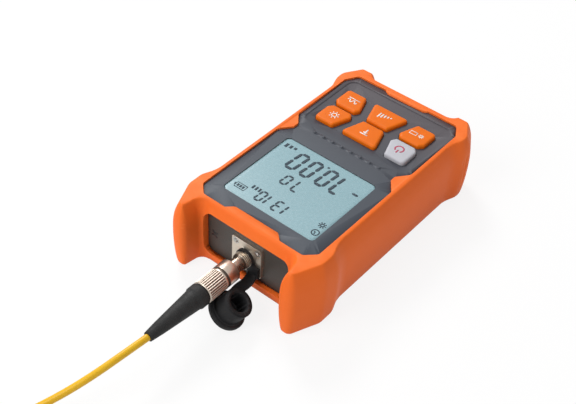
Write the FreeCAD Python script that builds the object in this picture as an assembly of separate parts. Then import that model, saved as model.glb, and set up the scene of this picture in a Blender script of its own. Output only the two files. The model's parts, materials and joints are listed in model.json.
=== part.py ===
import FreeCAD, Part
import math
import os

# Hand-held optical power meter in a rubber boot, lying on its back, with an FC patch cord
# plugged in.  Millimetres.  +Z is up out of the display, -Y is the end with the optical port,
# +X is to the right when the port points at the viewer.  The origin is the middle of the
# footprint, on the surface that the meter lies on.

V = FreeCAD.Vector

# ---------------------------------------------------------------- driving sizes
# hard case
SHELL_L = 111.2            # length of the two-part case
SHELL_W = 64.0             # width of the case
SHELL_SHIFT = 2.0          # the case sits this far towards the tail of the boot
SHELL_BACK_Z = 3.4         # underside of the case above the table
SPLIT_Z = 18.0             # plane where the two case halves meet
SHOULDER_Z = 31.6          # top of the case under the rim of the boot
PANEL_Z = 33.4             # top face of the key and display panel
WALL = 2.0                 # case wall
SHELL_CORNER_R = 6.0
TONGUE_H = 1.2             # tongue of the rear half inside the front half
TONGUE_T = 0.9

# panel outline on top of the case
PANEL_W = 61.0
PANEL_PORT_MARGIN = 1.2    # panel edge behind the port face of the case
PANEL_TAIL_MARGIN = 2.4
PANEL_CHAMFER = 4.5
NOTCH_DEPTH = 4.4          # the waist, between display and keys
NOTCH_FLAT = 3.0
NOTCH_RUN = 5.6            # length of each slope of the waist
PORT_TAB = (14.5, 11.5, 3.0)   # half width at the edge, half width inside, depth
TAIL_TAB = (12.0, 9.5, 1.5)
KEY_FIELD_SINK = 0.4       # the key field lies this much lower

# display
DISPLAY_W = 48.0
DISPLAY_L = 43.4
DISPLAY_SET = 30.4         # display centre from the port edge of the panel
DISPLAY_R = 2.0
WINDOW_LEDGE = 1.5         # hidden flange of the window under the panel
WINDOW_T = 2.0
LCD_GLASS_T = 2.0
LCD_MARGIN = 1.0           # cell larger than the window, each side
BACKLIGHT_T = 2.4
LCD_FRAME_T = 1.8

# keys: two rows of three, mirrored about the middle of the field
KEY_SET = 11.5             # tail row from the tail edge of the panel
KEY_ROW_L = 12.2
KEY_ROW_GAP = 1.6
KEY_OUTER_X = 24.3
KEY_SIDE_WIDE = 10.9       # inner edge of the side keys where the rows meet
KEY_SIDE_NARROW = 14.2     # and at the far side of each row
KEY_MID_WIDE = 9.2         # half width of the middle keys at the far side of each row
KEY_MID_NARROW = 5.6       # and where the rows meet
KEY_RISE = 1.5             # key top above the panel
KEY_CORNER_R = 1.3
KEY_SKIRT = 1.0            # thickness of the retaining flange under the panel
KEY_SKIRT_OUT = 0.6        # reach of that flange beyond the key
KEY_TRAVEL = 0.8
KEY_SLACK = 0.25           # gap between key and panel
DOME_R = 3.0
DOME_H = 2.4

# raised marks between display and keys
PIP_COUNT = 8
PIP_PITCH = 5.0
PIP_R = 0.75
PIP_RISE = 0.45
PIP_SET = 13.5             # from the display edge

# rubber boot
BOOT_SIDE = 3.3            # wall beside the case
BOOT_FIT = 0.15            # boot to case
BOOT_RIM_Z = 34.2          # top of the rim round the panel
BOOT_FLOOR_T = 1.8         # floor of the boot under the case
BOOT_RELIEF = 1.4          # underside lifted between the four feet
PORT_LIP = 3.0             # lip in front of the port face
TAIL_LIP = 3.4
BUMPER_OUT = 2.7           # corner bumpers beyond the sides
BUMPER_PORT_REACH = 9.8    # port bumpers beyond the lip
BUMPER_TAIL_REACH = 3.2
BUMPER_PORT_INNER = 24.6   # half gap between the port bumpers
BUMPER_TAIL_INNER = 21.5
GROOVE_COUNT = 3           # grip grooves in the side of each tail bumper
GROOVE_PITCH = 2.3
PORT_WINDOW_W = 45.0       # opening that shows the end panel
PORT_WINDOW_H = 23.0
PORT_WINDOW_R = 3.5
BACK_WINDOW_W = 46.0       # opening under the case for the battery door
BACK_WINDOW_L = 97.0
BACK_WINDOW_R = 6.0

# port end
AXIS_Z = 17.2              # optical axis above the table
END_PANEL_W = 49.0
END_PANEL_H = 26.0
END_PANEL_T = 2.0
FLANGE_SIDE = 15.6
FLANGE_T = 1.8
BARREL_R = 4.0             # M8 thread
BARREL_L = 4.2
BARREL_WALL = 0.75
KEY_SLOT_W = 2.2
HUB_R = 4.7                # adapter hub through the end panel
HUB_L = 5.6
SLEEVE_WALL = 0.38
SLEEVE_L = 7.0
FLANGE_SCREW_PITCH = 11.6
FLANGE_SCREW_R = 0.9
FLANGE_SCREW_HEAD_R = 1.6
DETECTOR_R = 4.1
DETECTOR_L = 4.0

# FC plug
FERRULE_R = 1.25
FERRULE_OUT = 4.6          # ferrule in front of the plug body
FERRULE_NECK_R = 0.85      # the part of it that the plug body holds
FERRULE_FIT = 0.02         # ferrule to its sleeve and to the plug body
PLUG_FIT = 0.15            # plug body to the bore of the barrel
PLUG_INSERT = 3.0          # plug body inside the barrel
THREAD_FIT = 0.15          # nut and dust cap to the barrel
NUT_WALL = 0.95
NUT_L = 17.2
NUT_BACK = 5.1             # nut front face in front of the barrel
NUT_NECK_FIT = 0.3         # rear neck of the nut to the plug body
NUT_COLLAR_L = 5.6         # smooth front part of the nut
NUT_RING_SET = 12.5        # retaining ring behind the nut's front
NUT_RING_T = 1.0
PLUG_BOOT_L = 29.4
PLUG_BOOT_R0 = 5.0
PLUG_BOOT_R1 = 2.15
CORD_R = 1.5

# dust cap
CAP_RING_WALL = 1.9
CAP_RING_T = 1.3
CAP_HEAD_OUT = 2.1         # rim of the head beyond the skirt
CAP_HEAD_T = 2.6
CAP_EDGE_R = 0.9
CAP_WALL = 2.3
CAP_SKIRT_L = 7.4
CAP_STRAP_W = 4.6
CAP_STRAP_T = 1.5
CAP_TUCK = 7.6             # head of the hanging cap: how far it reaches under the nut's side
CAP_AHEAD = 15.3           # and in front of the barrel
CAP_MOUTH = (0.56, 0.20, 0.80)   # way that its mouth faces

# electronics and batteries
BOARD_W = 57.0
BOARD_T = 1.6
BOARD_Z = 21.0             # underside of the board
BOARD_PORT_SET = 12.6      # board edge behind the port face
BOARD_TAIL_SET = 6.6
POST_R = 2.2
BOARD_SCREW_R = 1.0
CASE_SCREW_R = 1.1
CELL_R = 5.15
CELL_L = 44.5
CELL_GAP = 0.7             # between neighbouring cells
CELL_COUNT = 3
BAY_WALL = 1.5
DOOR_T = 1.6
DOOR_GAP = 0.15
DOOR_LAP = 1.5             # door over the walls of the bay
HOOK_W = 4.2               # the two hooks at the door's half-round edge
HOOK_X = 5.5
HOOK_REACH = 1.3
CONTACT_SPRING_L = 2.0
CONTACT_PLATE_L = 0.9

# ---------------------------------------------------------------- places that follow
PORT_FACE = SHELL_SHIFT - SHELL_L / 2
TAIL_FACE = SHELL_SHIFT + SHELL_L / 2
HALF_W = SHELL_W / 2
PANEL_PORT = PORT_FACE + PANEL_PORT_MARGIN
PANEL_TAIL = TAIL_FACE - PANEL_TAIL_MARGIN
DISPLAY_Y = PANEL_PORT + DISPLAY_SET
DISPLAY_TAIL = DISPLAY_Y + DISPLAY_L / 2
KEY_ROW_HIGH = PANEL_TAIL - KEY_SET
KEY_MEET = KEY_ROW_HIGH - KEY_ROW_L - KEY_ROW_GAP / 2
KEY_ROW_LOW = KEY_MEET - KEY_ROW_GAP / 2 - KEY_ROW_L
NOTCH_Y = (KEY_ROW_LOW + DISPLAY_TAIL) / 2 - 1.2
BOARD_TOP = BOARD_Z + BOARD_T
PANEL_UNDER = PANEL_Z - WALL
CEILING_Z = SHOULDER_Z - WALL
BOOT_HALF_W = HALF_W + BOOT_SIDE
LIP_FACE = PORT_FACE - PORT_LIP
BOOT_FRONT = LIP_FACE - BUMPER_PORT_REACH
BOOT_TAIL = TAIL_FACE + TAIL_LIP
BOOT_END = BOOT_TAIL + BUMPER_TAIL_REACH
BOOT_FLOOR_TOP = BOOT_RELIEF + BOOT_FLOOR_T
FLANGE_FACE = PORT_FACE - FLANGE_T
BARREL_FRONT = FLANGE_FACE - BARREL_L
NUT_FRONT = BARREL_FRONT - NUT_BACK
NUT_REAR = NUT_FRONT - NUT_L
BARREL_BORE_R = BARREL_R - BARREL_WALL
SLEEVE_BORE_R = FERRULE_R + FERRULE_FIT
SLEEVE_R = SLEEVE_BORE_R + SLEEVE_WALL
PLUG_BODY_R = BARREL_BORE_R - PLUG_FIT
NUT_BORE_R = BARREL_R + THREAD_FIT
NUT_R = NUT_BORE_R + NUT_WALL
NUT_RING_R = NUT_BORE_R - 0.05
NUT_NECK_R = PLUG_BODY_R + NUT_NECK_FIT
CAP_RING_R = BARREL_R + CAP_RING_WALL
CAP_SKIRT_BORE_R = BARREL_R + THREAD_FIT - 0.05
CAP_SKIRT_R = CAP_SKIRT_BORE_R + CAP_WALL
CAP_HEAD_R = CAP_SKIRT_R + CAP_HEAD_OUT
CAP_SIDE = CAP_HEAD_R + NUT_R - CAP_TUCK
CELL_PITCH = 2 * CELL_R + CELL_GAP
PLUG_BOOT_FRONT = NUT_REAR - 0.3
CORD_EXIT = V(0, PLUG_BOOT_FRONT - PLUG_BOOT_L, AXIS_Z)
BAY_PORT = SHELL_SHIFT + 1.6
BAY_TAIL = BAY_PORT + CELL_L + CONTACT_SPRING_L + CONTACT_PLATE_L + 0.2
BAY_HALF_W = CELL_PITCH * (CELL_COUNT - 1) / 2 + CELL_R + 0.45
DOOR_INNER_Z = SHELL_BACK_Z + DOOR_T
CELL_Z = DOOR_INNER_Z + 0.3 + CELL_R
BAY_CEILING = CELL_Z + CELL_R + 0.4

NODES = {}


def keep(name, shape):
    """Store a finished sub-part under its node name."""
    NODES[name] = shape
    return shape


# ---------------------------------------------------------------- plan outlines
def rounded_corner(before, corner, after, radius):
    """The two ends and the middle of the arc that rounds one corner."""
    back = (before - corner).normalize()
    ahead = (after - corner).normalize()
    half_angle = back.getAngle(ahead) / 2
    reach = radius / math.tan(half_angle)
    start = corner + back * reach
    end = corner + ahead * reach
    bisector = (back + ahead).normalize()
    centre = corner + bisector * (radius / math.sin(half_angle))
    middle = centre - bisector * radius
    return start, middle, end


def outline(corners, z=0.0):
    """Closed wire through corners (x, y, radius), each rounded by a tangent arc."""
    points = [V(x, y, z) for x, y, _ in corners]
    count = len(points)
    arcs = []
    for i, (_, _, radius) in enumerate(corners):
        if radius > 0:
            arcs.append(rounded_corner(points[i - 1], points[i], points[(i + 1) % count], radius))
        else:
            arcs.append((points[i], None, points[i]))
    edges = []
    for i, (start, middle, end) in enumerate(arcs):
        if middle is not None:
            edges.append(Part.Arc(start, middle, end).toShape())
        nearest = arcs[(i + 1) % count][0]
        if end.distanceToPoint(nearest) > 1e-6:
            edges.append(Part.LineSegment(end, nearest).toShape())
    return Part.Wire(edges)


def inset(corners, amount):
    """The same outline moved inwards, with its corner radii following."""
    count = len(corners)
    points = [V(x, y, 0) for x, y, _ in corners]
    lines = []
    for i in range(count):
        along = (points[(i + 1) % count] - points[i]).normalize()
        inward = V(-along.y, along.x, 0)
        lines.append((points[i] + inward * amount, along, inward))
    moved = []
    for i in range(count):
        p0, d0, n0 = lines[i - 1]
        p1, d1, _ = lines[i]
        turn = d0.cross(d1).z
        step = (p1 - p0).cross(d1).z / turn
        spot = p0 + d0 * step
        radius = corners[i][2]
        if radius > 0:
            radius = radius - amount if turn > 0 else radius + amount
            radius = max(radius, 0.3)
        moved.append((spot.x, spot.y, radius))
    return moved


def mirrored(right_side):
    """Whole outline from its right half, listed from the port end to the tail."""
    left_side = [(-x, y, r) for x, y, r in reversed(right_side)]
    return right_side + left_side


def block(corners, z0, z1):
    """Straight prism on an outline."""
    return Part.Face(outline(corners, z0)).extrude(V(0, 0, z1 - z0))


def rectangle(x0, x1, y0, y1, radius=0.0):
    return [(x1, y0, radius), (x1, y1, radius), (x0, y1, radius), (x0, y0, radius)]


def box(x0, x1, y0, y1, z0, z1):
    return Part.makeBox(x1 - x0, y1 - y0, z1 - z0, V(x0, y0, z0))


def rod(radius, y0, y1, x=0.0, z=AXIS_Z):
    """Round bar along Y."""
    return Part.makeCylinder(radius, y1 - y0, V(x, y0, z), V(0, 1, 0))


def post(radius, x, y, z0, z1):
    """Round bar along Z."""
    return Part.makeCylinder(radius, z1 - z0, V(x, y, z0))


def upright_plate(half_w, z0, z1, radius, y0, y1):
    """Rounded plate that faces the port end."""
    plate = block(rectangle(-half_w, half_w, z0, z1, radius), 0, y1 - y0)
    plate.rotate(V(0, 0, 0), V(1, 0, 0), 90)
    plate.translate(V(0, y1, 0))
    return plate


def turned(profile, y0=0.0, x=0.0, z=AXIS_Z):
    """Solid of revolution about the optical axis from (distance, radius) points."""
    points = [V(r, y, 0) for y, r in profile]
    points.append(points[0])
    solid = Part.Face(Part.makePolygon(points)).revolve(V(0, 0, 0), V(0, 1, 0), 360)
    solid.translate(V(x, y0, z))
    return solid


def panel_corners():
    half = PANEL_W / 2
    notch = half - NOTCH_DEPTH
    port_out, port_in, port_deep = PORT_TAB
    tail_out, tail_in, tail_deep = TAIL_TAB
    return mirrored([
        (port_in, PANEL_PORT + port_deep, 1.5),
        (port_out, PANEL_PORT, 1.5),
        (half - PANEL_CHAMFER, PANEL_PORT, 2.0),
        (half, PANEL_PORT + PANEL_CHAMFER, 2.0),
        (half, NOTCH_Y - NOTCH_FLAT / 2 - NOTCH_RUN, 3.0),
        (notch, NOTCH_Y - NOTCH_FLAT / 2, 1.8),
        (notch, NOTCH_Y + NOTCH_FLAT / 2, 1.8),
        (half, NOTCH_Y + NOTCH_FLAT / 2 + NOTCH_RUN, 3.0),
        (half, PANEL_TAIL - PANEL_CHAMFER * 1.4, 2.0),
        (half - PANEL_CHAMFER * 0.8, PANEL_TAIL, 2.0),
        (tail_out, PANEL_TAIL, 1.0),
        (tail_in, PANEL_TAIL - tail_deep, 1.0),
    ])


def shell_corners():
    return rectangle(-HALF_W, HALF_W, PORT_FACE, TAIL_FACE, SHELL_CORNER_R)


def boot_corners():
    side = BOOT_HALF_W
    out = BOOT_HALF_W + BUMPER_OUT
    gap_p = BUMPER_PORT_INNER
    gap_t = BUMPER_TAIL_INNER
    return mirrored([
        (gap_p - 0.9, LIP_FACE, 2.4),
        (gap_p + 0.6, BOOT_FRONT, 3.2),
        (out - 6.2, BOOT_FRONT, 4.5),
        (out, BOOT_FRONT + 14.8, 7.0),
        (out, BOOT_FRONT + 22.8, 8.0),
        (side, BOOT_FRONT + 29.4, 14.0),
        (side, BOOT_END - 22.0, 14.0),
        (out - 0.4, BOOT_END - 16.0, 8.0),
        (out - 0.4, BOOT_END - 11.0, 7.0),
        (out - 7.0, BOOT_END, 4.5),
        (gap_t + 1.0, BOOT_END, 3.2),
        (gap_t - 1.0, BOOT_TAIL, 2.0),
    ])


# ---------------------------------------------------------------- boot
def protective_boot():
    corners = boot_corners()
    # the skin swells from the feet to two thirds of the height and rolls over into the rim
    profile = [(0.0, 2.4), (0.6, 1.7), (2.4, 1.1), (6.0, 0.6), (13.0, 0.1), (19.0, 0.0),
               (24.5, 0.2), (28.5, 0.8), (31.4, 1.7), (33.2, 2.5), (BOOT_RIM_Z, 3.3)]
    sections = [outline(inset(corners, step), z) for z, step in profile]
    boot = Part.makeLoft(sections, True, False)
    cavity = block(inset(shell_corners(), -BOOT_FIT), BOOT_FLOOR_TOP, SHOULDER_Z + BOOT_FIT)
    boot = boot.cut(cavity)
    boot = boot.cut(block(inset(panel_corners(), -BOOT_FIT), SHOULDER_Z, BOOT_RIM_Z + 1))
    middle_z = AXIS_Z + 0.2
    window = upright_plate(PORT_WINDOW_W / 2, middle_z - PORT_WINDOW_H / 2,
                           middle_z + PORT_WINDOW_H / 2, PORT_WINDOW_R, LIP_FACE - 1, PORT_FACE + 1)
    boot = boot.cut(window)
    back = rectangle(-BACK_WINDOW_W / 2, BACK_WINDOW_W / 2, PANEL_TAIL - BACK_WINDOW_L,
                     PANEL_TAIL, BACK_WINDOW_R)
    boot = boot.cut(block(back, -1, BOOT_FLOOR_TOP + 1))
    # the underside is lifted between the four feet, along and across
    along = box(-60, 60, BOOT_FRONT + 27.4, BOOT_END - 14, -1, BOOT_RELIEF)
    across = box(-BUMPER_TAIL_INNER, BUMPER_TAIL_INNER, BOOT_FRONT - 1, BOOT_END + 1,
                 -1, BOOT_RELIEF)
    boot = boot.cut(along).cut(across)
    # three grip grooves in the side of each tail bumper
    for i in range(GROOVE_COUNT):
        y = BOOT_END - 11.6 - GROOVE_PITCH * i
        for x in (-BOOT_HALF_W - BUMPER_OUT, BOOT_HALF_W + BUMPER_OUT):
            boot = boot.cut(post(0.8, x, y, 7, 27))
    return boot


# ---------------------------------------------------------------- case
def end_opening(fit):
    """Space for the end panel in the port face of the case."""
    middle_z = AXIS_Z + 0.2
    return box(-END_PANEL_W / 2 - fit, END_PANEL_W / 2 + fit, PORT_FACE - 1,
               PORT_FACE + END_PANEL_T + fit, middle_z - END_PANEL_H / 2 - fit,
               middle_z + END_PANEL_H / 2 + fit)


def panel_ribs(z0, z1):
    """Ribs behind the end panel, at its two ends."""
    outer = END_PANEL_W / 2 + 1.4
    inner = END_PANEL_W / 2 - 1.2
    y0 = PORT_FACE + END_PANEL_T + 0.1
    right = box(inner, outer, y0, y0 + 1.4, z0, z1)
    return right.fuse(box(-outer, -inner, y0, y0 + 1.4, z0, z1))


def case_screw_places():
    x = HALF_W - WALL - POST_R + 0.3
    return [(sx * x, y) for sx in (-1, 1) for y in (PORT_FACE + 8.0, TAIL_FACE - 8.6)]


def board_screw_places():
    waist = (BOARD_W / 2 - 2.4, NOTCH_Y + 2.5)
    tail = (18.0, TAIL_FACE - 10.0)
    return [(sx * x, y) for sx in (-1, 1) for x, y in (waist, tail)]


def key_shapes(grow=0.0):
    """Plan outline of each key, by node name."""
    low, high = KEY_ROW_LOW, KEY_ROW_HIGH
    meet_low = KEY_MEET - KEY_ROW_GAP / 2
    meet_high = KEY_MEET + KEY_ROW_GAP / 2
    outer, wide, narrow = KEY_OUTER_X, KEY_SIDE_WIDE, KEY_SIDE_NARROW
    big, small, r = KEY_MID_WIDE, KEY_MID_NARROW, KEY_CORNER_R

    def side(sign, far, meet, toward):
        """One side key: its outer end is bevelled where the rows meet."""
        points = [
            (sign * narrow, far, r),
            (sign * outer, far, r + 0.6),
            (sign * outer, meet - toward * 2.4, r),
            (sign * (outer - 2.0), meet, r),
            (sign * (wide + 1.6), meet, r),
            (sign * wide, meet - toward * 2.6, r),
        ]
        return points if sign * toward > 0 else list(reversed(points))

    def middle(far, meet, toward):
        points = [
            (big, far, r), (big - 0.5, far + toward * 2.2, r), (small, meet, r),
            (-small, meet, r), (-big + 0.5, far + toward * 2.2, r), (-big, far, r),
        ]
        return points if toward > 0 else list(reversed(points))

    shapes = {
        "power_key": side(1, low, meet_low, 1),
        "ref_key": middle(low, meet_low, 1),
        "lamp_key": side(-1, low, meet_low, 1),
        "backlight_key": side(1, high, meet_high, -1),
        "db_key": middle(high, meet_high, -1),
        "wavelength_key": side(-1, high, meet_high, -1),
    }
    return {name: inset(points, -grow) for name, points in shapes.items()}


def key_centre(corners):
    xs = [x for x, _, _ in corners]
    ys = [y for _, y, _ in corners]
    return (min(xs) + max(xs)) / 2, (min(ys) + max(ys)) / 2


def front_shell():
    shell = block(shell_corners(), SPLIT_Z, SHOULDER_Z)
    shell = shell.fuse(block(panel_corners(), SHOULDER_Z - 0.5, PANEL_Z))
    shell = shell.cut(block(inset(shell_corners(), WALL), SPLIT_Z - 1, CEILING_Z))
    shell = shell.cut(block(inset(panel_corners(), WALL + 0.2), CEILING_Z - 0.5, PANEL_UNDER))
    # rabbet that takes the tongue of the rear half
    shell = shell.cut(block(inset(shell_corners(), WALL - TONGUE_T - 0.1), SPLIT_Z - 1,
                            SPLIT_Z + TONGUE_H + 0.1))
    # window opening with its ledge, cut from inside
    half_w, half_l = DISPLAY_W / 2, DISPLAY_L / 2
    hole = rectangle(-half_w, half_w, DISPLAY_Y - half_l, DISPLAY_Y + half_l, DISPLAY_R)
    shell = shell.cut(block(hole, CEILING_Z, PANEL_Z + 1))
    shell = shell.cut(block(inset(hole, -WINDOW_LEDGE), CEILING_Z, PANEL_Z - WINDOW_T / 2))
    # the key field is sunk a little, inside its own border
    field = rectangle(-PANEL_W / 2 + 2.2, PANEL_W / 2 - 2.2, KEY_ROW_LOW - 3.6,
                      PANEL_TAIL - 3.4, 4.0)
    shell = shell.cut(block(field, PANEL_Z - KEY_FIELD_SINK, PANEL_Z + 1))
    for corners in key_shapes(KEY_SLACK).values():
        shell = shell.cut(block(corners, CEILING_Z, PANEL_Z + 1))
    pip_y = DISPLAY_TAIL + PIP_SET - 3.6
    for i in range(PIP_COUNT):
        x = (i - (PIP_COUNT - 1) / 2) * PIP_PITCH
        pip = Part.makeCone(PIP_R + 0.5, PIP_R - 0.2, PIP_RISE + 0.5, V(x, pip_y, PANEL_Z - 0.5))
        shell = shell.fuse(pip)
    # screw posts for the case and for the board
    for x, y in case_screw_places():
        tube = post(POST_R, x, y, SPLIT_Z + TONGUE_H + 0.2, PANEL_UNDER)
        shell = shell.fuse(tube)
        shell = shell.cut(post(CASE_SCREW_R + 0.05, x, y, SPLIT_Z - 1, SPLIT_Z + 8))
    for x, y in board_screw_places():
        shell = shell.fuse(post(POST_R, x, y, BOARD_TOP, PANEL_UNDER))
        shell = shell.cut(post(BOARD_SCREW_R + 0.05, x, y, BOARD_TOP - 1, BOARD_TOP + 4.4))
    shell = shell.fuse(panel_ribs(SPLIT_Z + 0.1, CEILING_Z))
    return shell.cut(end_opening(0.1))


def rear_shell():
    shell = block(shell_corners(), SHELL_BACK_Z, SPLIT_Z)
    shell = shell.cut(block(inset(shell_corners(), WALL), SHELL_BACK_Z + WALL, SPLIT_Z + 1))
    inner = block(inset(shell_corners(), WALL), SPLIT_Z - 1, SPLIT_Z + TONGUE_H + 1)
    tongue = block(inset(shell_corners(), WALL - TONGUE_T), SPLIT_Z - 1, SPLIT_Z + TONGUE_H)
    shell = shell.fuse(tongue.cut(inner))
    # battery bay: four walls and a ceiling, open at the back
    bay_out = box(-BAY_HALF_W - BAY_WALL, BAY_HALF_W + BAY_WALL, BAY_PORT - BAY_WALL,
                  BAY_TAIL + BAY_WALL, DOOR_INNER_Z + 0.1, BAY_CEILING + BAY_WALL)
    shell = shell.fuse(bay_out)
    shell = shell.cut(box(-BAY_HALF_W, BAY_HALF_W, BAY_PORT, BAY_TAIL, SHELL_BACK_Z - 1,
                          BAY_CEILING))
    x0, x1, y0, y1 = door_limits()
    shell = shell.cut(box(x0 - DOOR_GAP, x1 + DOOR_GAP, y0 - DOOR_GAP, y1 + DOOR_GAP,
                          SHELL_BACK_Z - 1, DOOR_INNER_Z + 0.1))
    for x in (-HOOK_X, HOOK_X):
        shell = shell.cut(box(x - HOOK_W / 2 - 0.3, x + HOOK_W / 2 + 0.3, y0 - HOOK_REACH - 0.5,
                              y0 + DOOR_T + 0.3, SHELL_BACK_Z + DOOR_T / 2 - 0.2,
                              SHELL_BACK_Z + DOOR_T / 2 + HOOK_REACH + 1.3))
    for x, y in case_screw_places():
        shell = shell.fuse(post(POST_R + 0.9, x, y, SHELL_BACK_Z + 1, SPLIT_Z - 0.1))
        shell = shell.cut(post(CASE_SCREW_R + 0.2, x, y, SHELL_BACK_Z - 1, SPLIT_Z))
        shell = shell.cut(post(2.2, x, y, SHELL_BACK_Z - 1, SHELL_BACK_Z + 2.2))
    shell = shell.common(block(shell_corners(), SHELL_BACK_Z, SPLIT_Z + TONGUE_H))
    shell = shell.fuse(panel_ribs(SHELL_BACK_Z + WALL - 0.1, SPLIT_Z - 0.1))
    return shell.cut(end_opening(0.1))


def door_limits():
    return (-BAY_HALF_W - DOOR_LAP + 0.4, BAY_HALF_W + DOOR_LAP - 0.4,
            BAY_PORT - DOOR_LAP + 0.4, BAY_TAIL + DOOR_LAP + 1.2)


def battery_door():
    x0, x1, y0, y1 = door_limits()
    half = DOOR_T / 2
    door = box(x0, x1, y0 + half, y1, SHELL_BACK_Z, DOOR_INNER_Z)
    # half-round edge that the door turns on
    edge = Part.makeCylinder(half, x1 - x0, V(x0, y0 + half, SHELL_BACK_Z + half), V(1, 0, 0))
    door = door.fuse(edge)
    # rib that keeps the cells down, two hooks at the hinge end, a thumb groove at the tail
    door = door.fuse(box(-BAY_HALF_W + 1, BAY_HALF_W - 1, SHELL_SHIFT + 24, SHELL_SHIFT + 25,
                         DOOR_INNER_Z, DOOR_INNER_Z + 0.25))
    for x in (-HOOK_X, HOOK_X):
        door = door.fuse(box(x - HOOK_W / 2, x + HOOK_W / 2, y0 - HOOK_REACH, y0 + half,
                             SHELL_BACK_Z + half, DOOR_INNER_Z))
    for i in range(5):
        y = y1 - 4 - 1.8 * i
        groove = Part.makeCylinder(0.55, 14, V(-7, y, SHELL_BACK_Z - 0.15), V(1, 0, 0))
        door = door.cut(groove)
    return door


def end_panel():
    middle_z = AXIS_Z + 0.2
    plate = box(-END_PANEL_W / 2, END_PANEL_W / 2, PORT_FACE, PORT_FACE + END_PANEL_T,
                middle_z - END_PANEL_H / 2, middle_z + END_PANEL_H / 2)
    plate = plate.cut(rod(HUB_R + 0.1, PORT_FACE - 1, PORT_FACE + END_PANEL_T + 1))
    for x, z in flange_screw_places():
        plate = plate.cut(rod(FLANGE_SCREW_R + 0.05, PORT_FACE - 1, PORT_FACE + END_PANEL_T + 1,
                              x, z))
    return plate


# ---------------------------------------------------------------- display
def display_window():
    half_w, half_l = DISPLAY_W / 2 - 0.1, DISPLAY_L / 2 - 0.1
    top = rectangle(-half_w, half_w, DISPLAY_Y - half_l, DISPLAY_Y + half_l, DISPLAY_R - 0.1)
    foot = PANEL_Z - WINDOW_T
    window = block(top, foot, PANEL_Z)
    return window.fuse(block(inset(top, -WINDOW_LEDGE), foot, foot + WINDOW_T / 2))


LCD_TOP = PANEL_Z - WINDOW_T - 0.1
LCD_UNDER = LCD_TOP - LCD_GLASS_T
BACKLIGHT_TOP = LCD_UNDER - 0.1
BACKLIGHT_UNDER = BACKLIGHT_TOP - BACKLIGHT_T


def lcd_limits(grow=0.0):
    half_w = DISPLAY_W / 2 + LCD_MARGIN + grow
    half_l = DISPLAY_L / 2 + LCD_MARGIN + grow
    return -half_w, half_w, DISPLAY_Y - half_l, DISPLAY_Y + half_l


def lcd_glass():
    x0, x1, y0, y1 = lcd_limits()
    cell = box(x0, x1, y0, y1, LCD_UNDER, LCD_TOP)
    # the upper glass stops short of the contact edge
    return cell.cut(box(x0 - 1, x1 + 1, y1 - 1.2, y1 + 1, LCD_UNDER + LCD_GLASS_T / 2,
                        LCD_TOP + 1))


def backlight_plate():
    x0, x1, y0, y1 = lcd_limits()
    return box(x0, x1, y0, y1 - 3.4, BACKLIGHT_UNDER, BACKLIGHT_TOP)


def lcd_frame():
    x0, x1, y0, y1 = lcd_limits(0.1)
    t = LCD_FRAME_T
    top = LCD_TOP - 0.4
    frame = box(x0 - t, x1 + t, y0 - t, y1 + t, BACKLIGHT_UNDER - 1.2, top)
    frame = frame.cut(box(x0, x1, y0, y1, BACKLIGHT_UNDER, top + 1))
    frame = frame.cut(box(x0 + 2, x1 - 2, y0 + 2, y1, BACKLIGHT_UNDER - 3, top))
    frame = frame.common(block(inset(panel_corners(), WALL + 0.4), BOARD_TOP, top))
    for x, y in case_screw_places():
        frame = frame.cut(post(POST_R + 0.2, x, y, BOARD_TOP, top + 1))
    board_edge = PORT_FACE + BOARD_PORT_SET
    for x in (x0 - t, x1 + t - 3.0):
        for y in (board_edge + 1.0, y1 - 6.0):
            frame = frame.fuse(box(x, x + 3.0, y, y + 3.0, BOARD_TOP, BACKLIGHT_UNDER - 1.0))
    return frame


def zebra_strip():
    x0, x1, _, y1 = lcd_limits()
    return box(x0 + 3, x1 - 3, y1 - 2.4, y1 - 0.4, BOARD_TOP, LCD_UNDER)


# ---------------------------------------------------------------- electronics
def main_board():
    half = BOARD_W / 2
    y0, y1 = PORT_FACE + BOARD_PORT_SET, TAIL_FACE - BOARD_TAIL_SET
    board = block(rectangle(-half, half, y0, y1, 1.5), BOARD_Z, BOARD_TOP)
    for x, y in case_screw_places():
        board = board.cut(post(POST_R + 1.3, x, y, BOARD_Z - 1, BOARD_TOP + 1))
    for x, y in board_screw_places():
        board = board.cut(post(BOARD_SCREW_R + 0.1, x, y, BOARD_Z - 1, BOARD_TOP + 1))
    return board


def main_chip():
    body = box(-6, 6, DISPLAY_Y - 6, DISPLAY_Y + 6, BOARD_Z - 1.7, BOARD_Z - 0.2)
    for i in range(10):
        step = -4.95 + 1.1 * i
        for sign in (-1, 1):
            tip = sign * 6.9
            low, high = sorted((tip, sign * 5.9))
            body = body.fuse(box(low, high, DISPLAY_Y + step - 0.2, DISPLAY_Y + step + 0.2,
                                 BOARD_Z - 0.5, BOARD_Z))
            body = body.fuse(box(step - 0.2, step + 0.2, DISPLAY_Y + low, DISPLAY_Y + high,
                                 BOARD_Z - 0.5, BOARD_Z))
    return body


def board_parts():
    """Crystal, regulator, coil and a row of chip capacitors under the board."""
    pieces = [
        box(12, 15.2, DISPLAY_Y - 9, DISPLAY_Y - 1, BOARD_Z - 2.4, BOARD_Z),
        box(-19, -13, DISPLAY_Y + 2, DISPLAY_Y + 6, BOARD_Z - 1.6, BOARD_Z),
        post(3.0, 15, DISPLAY_Y + 9, BOARD_Z - 2.8, BOARD_Z),
        post(2.5, -16, DISPLAY_Y - 8, BOARD_Z - 2.8, BOARD_Z),
    ]
    for i in range(6):
        x = -10 + 4 * i
        pieces.append(box(x, x + 2.0, DISPLAY_Y + 11, DISPLAY_Y + 12.2, BOARD_Z - 0.9, BOARD_Z))
    return Part.makeCompound(pieces)


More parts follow.
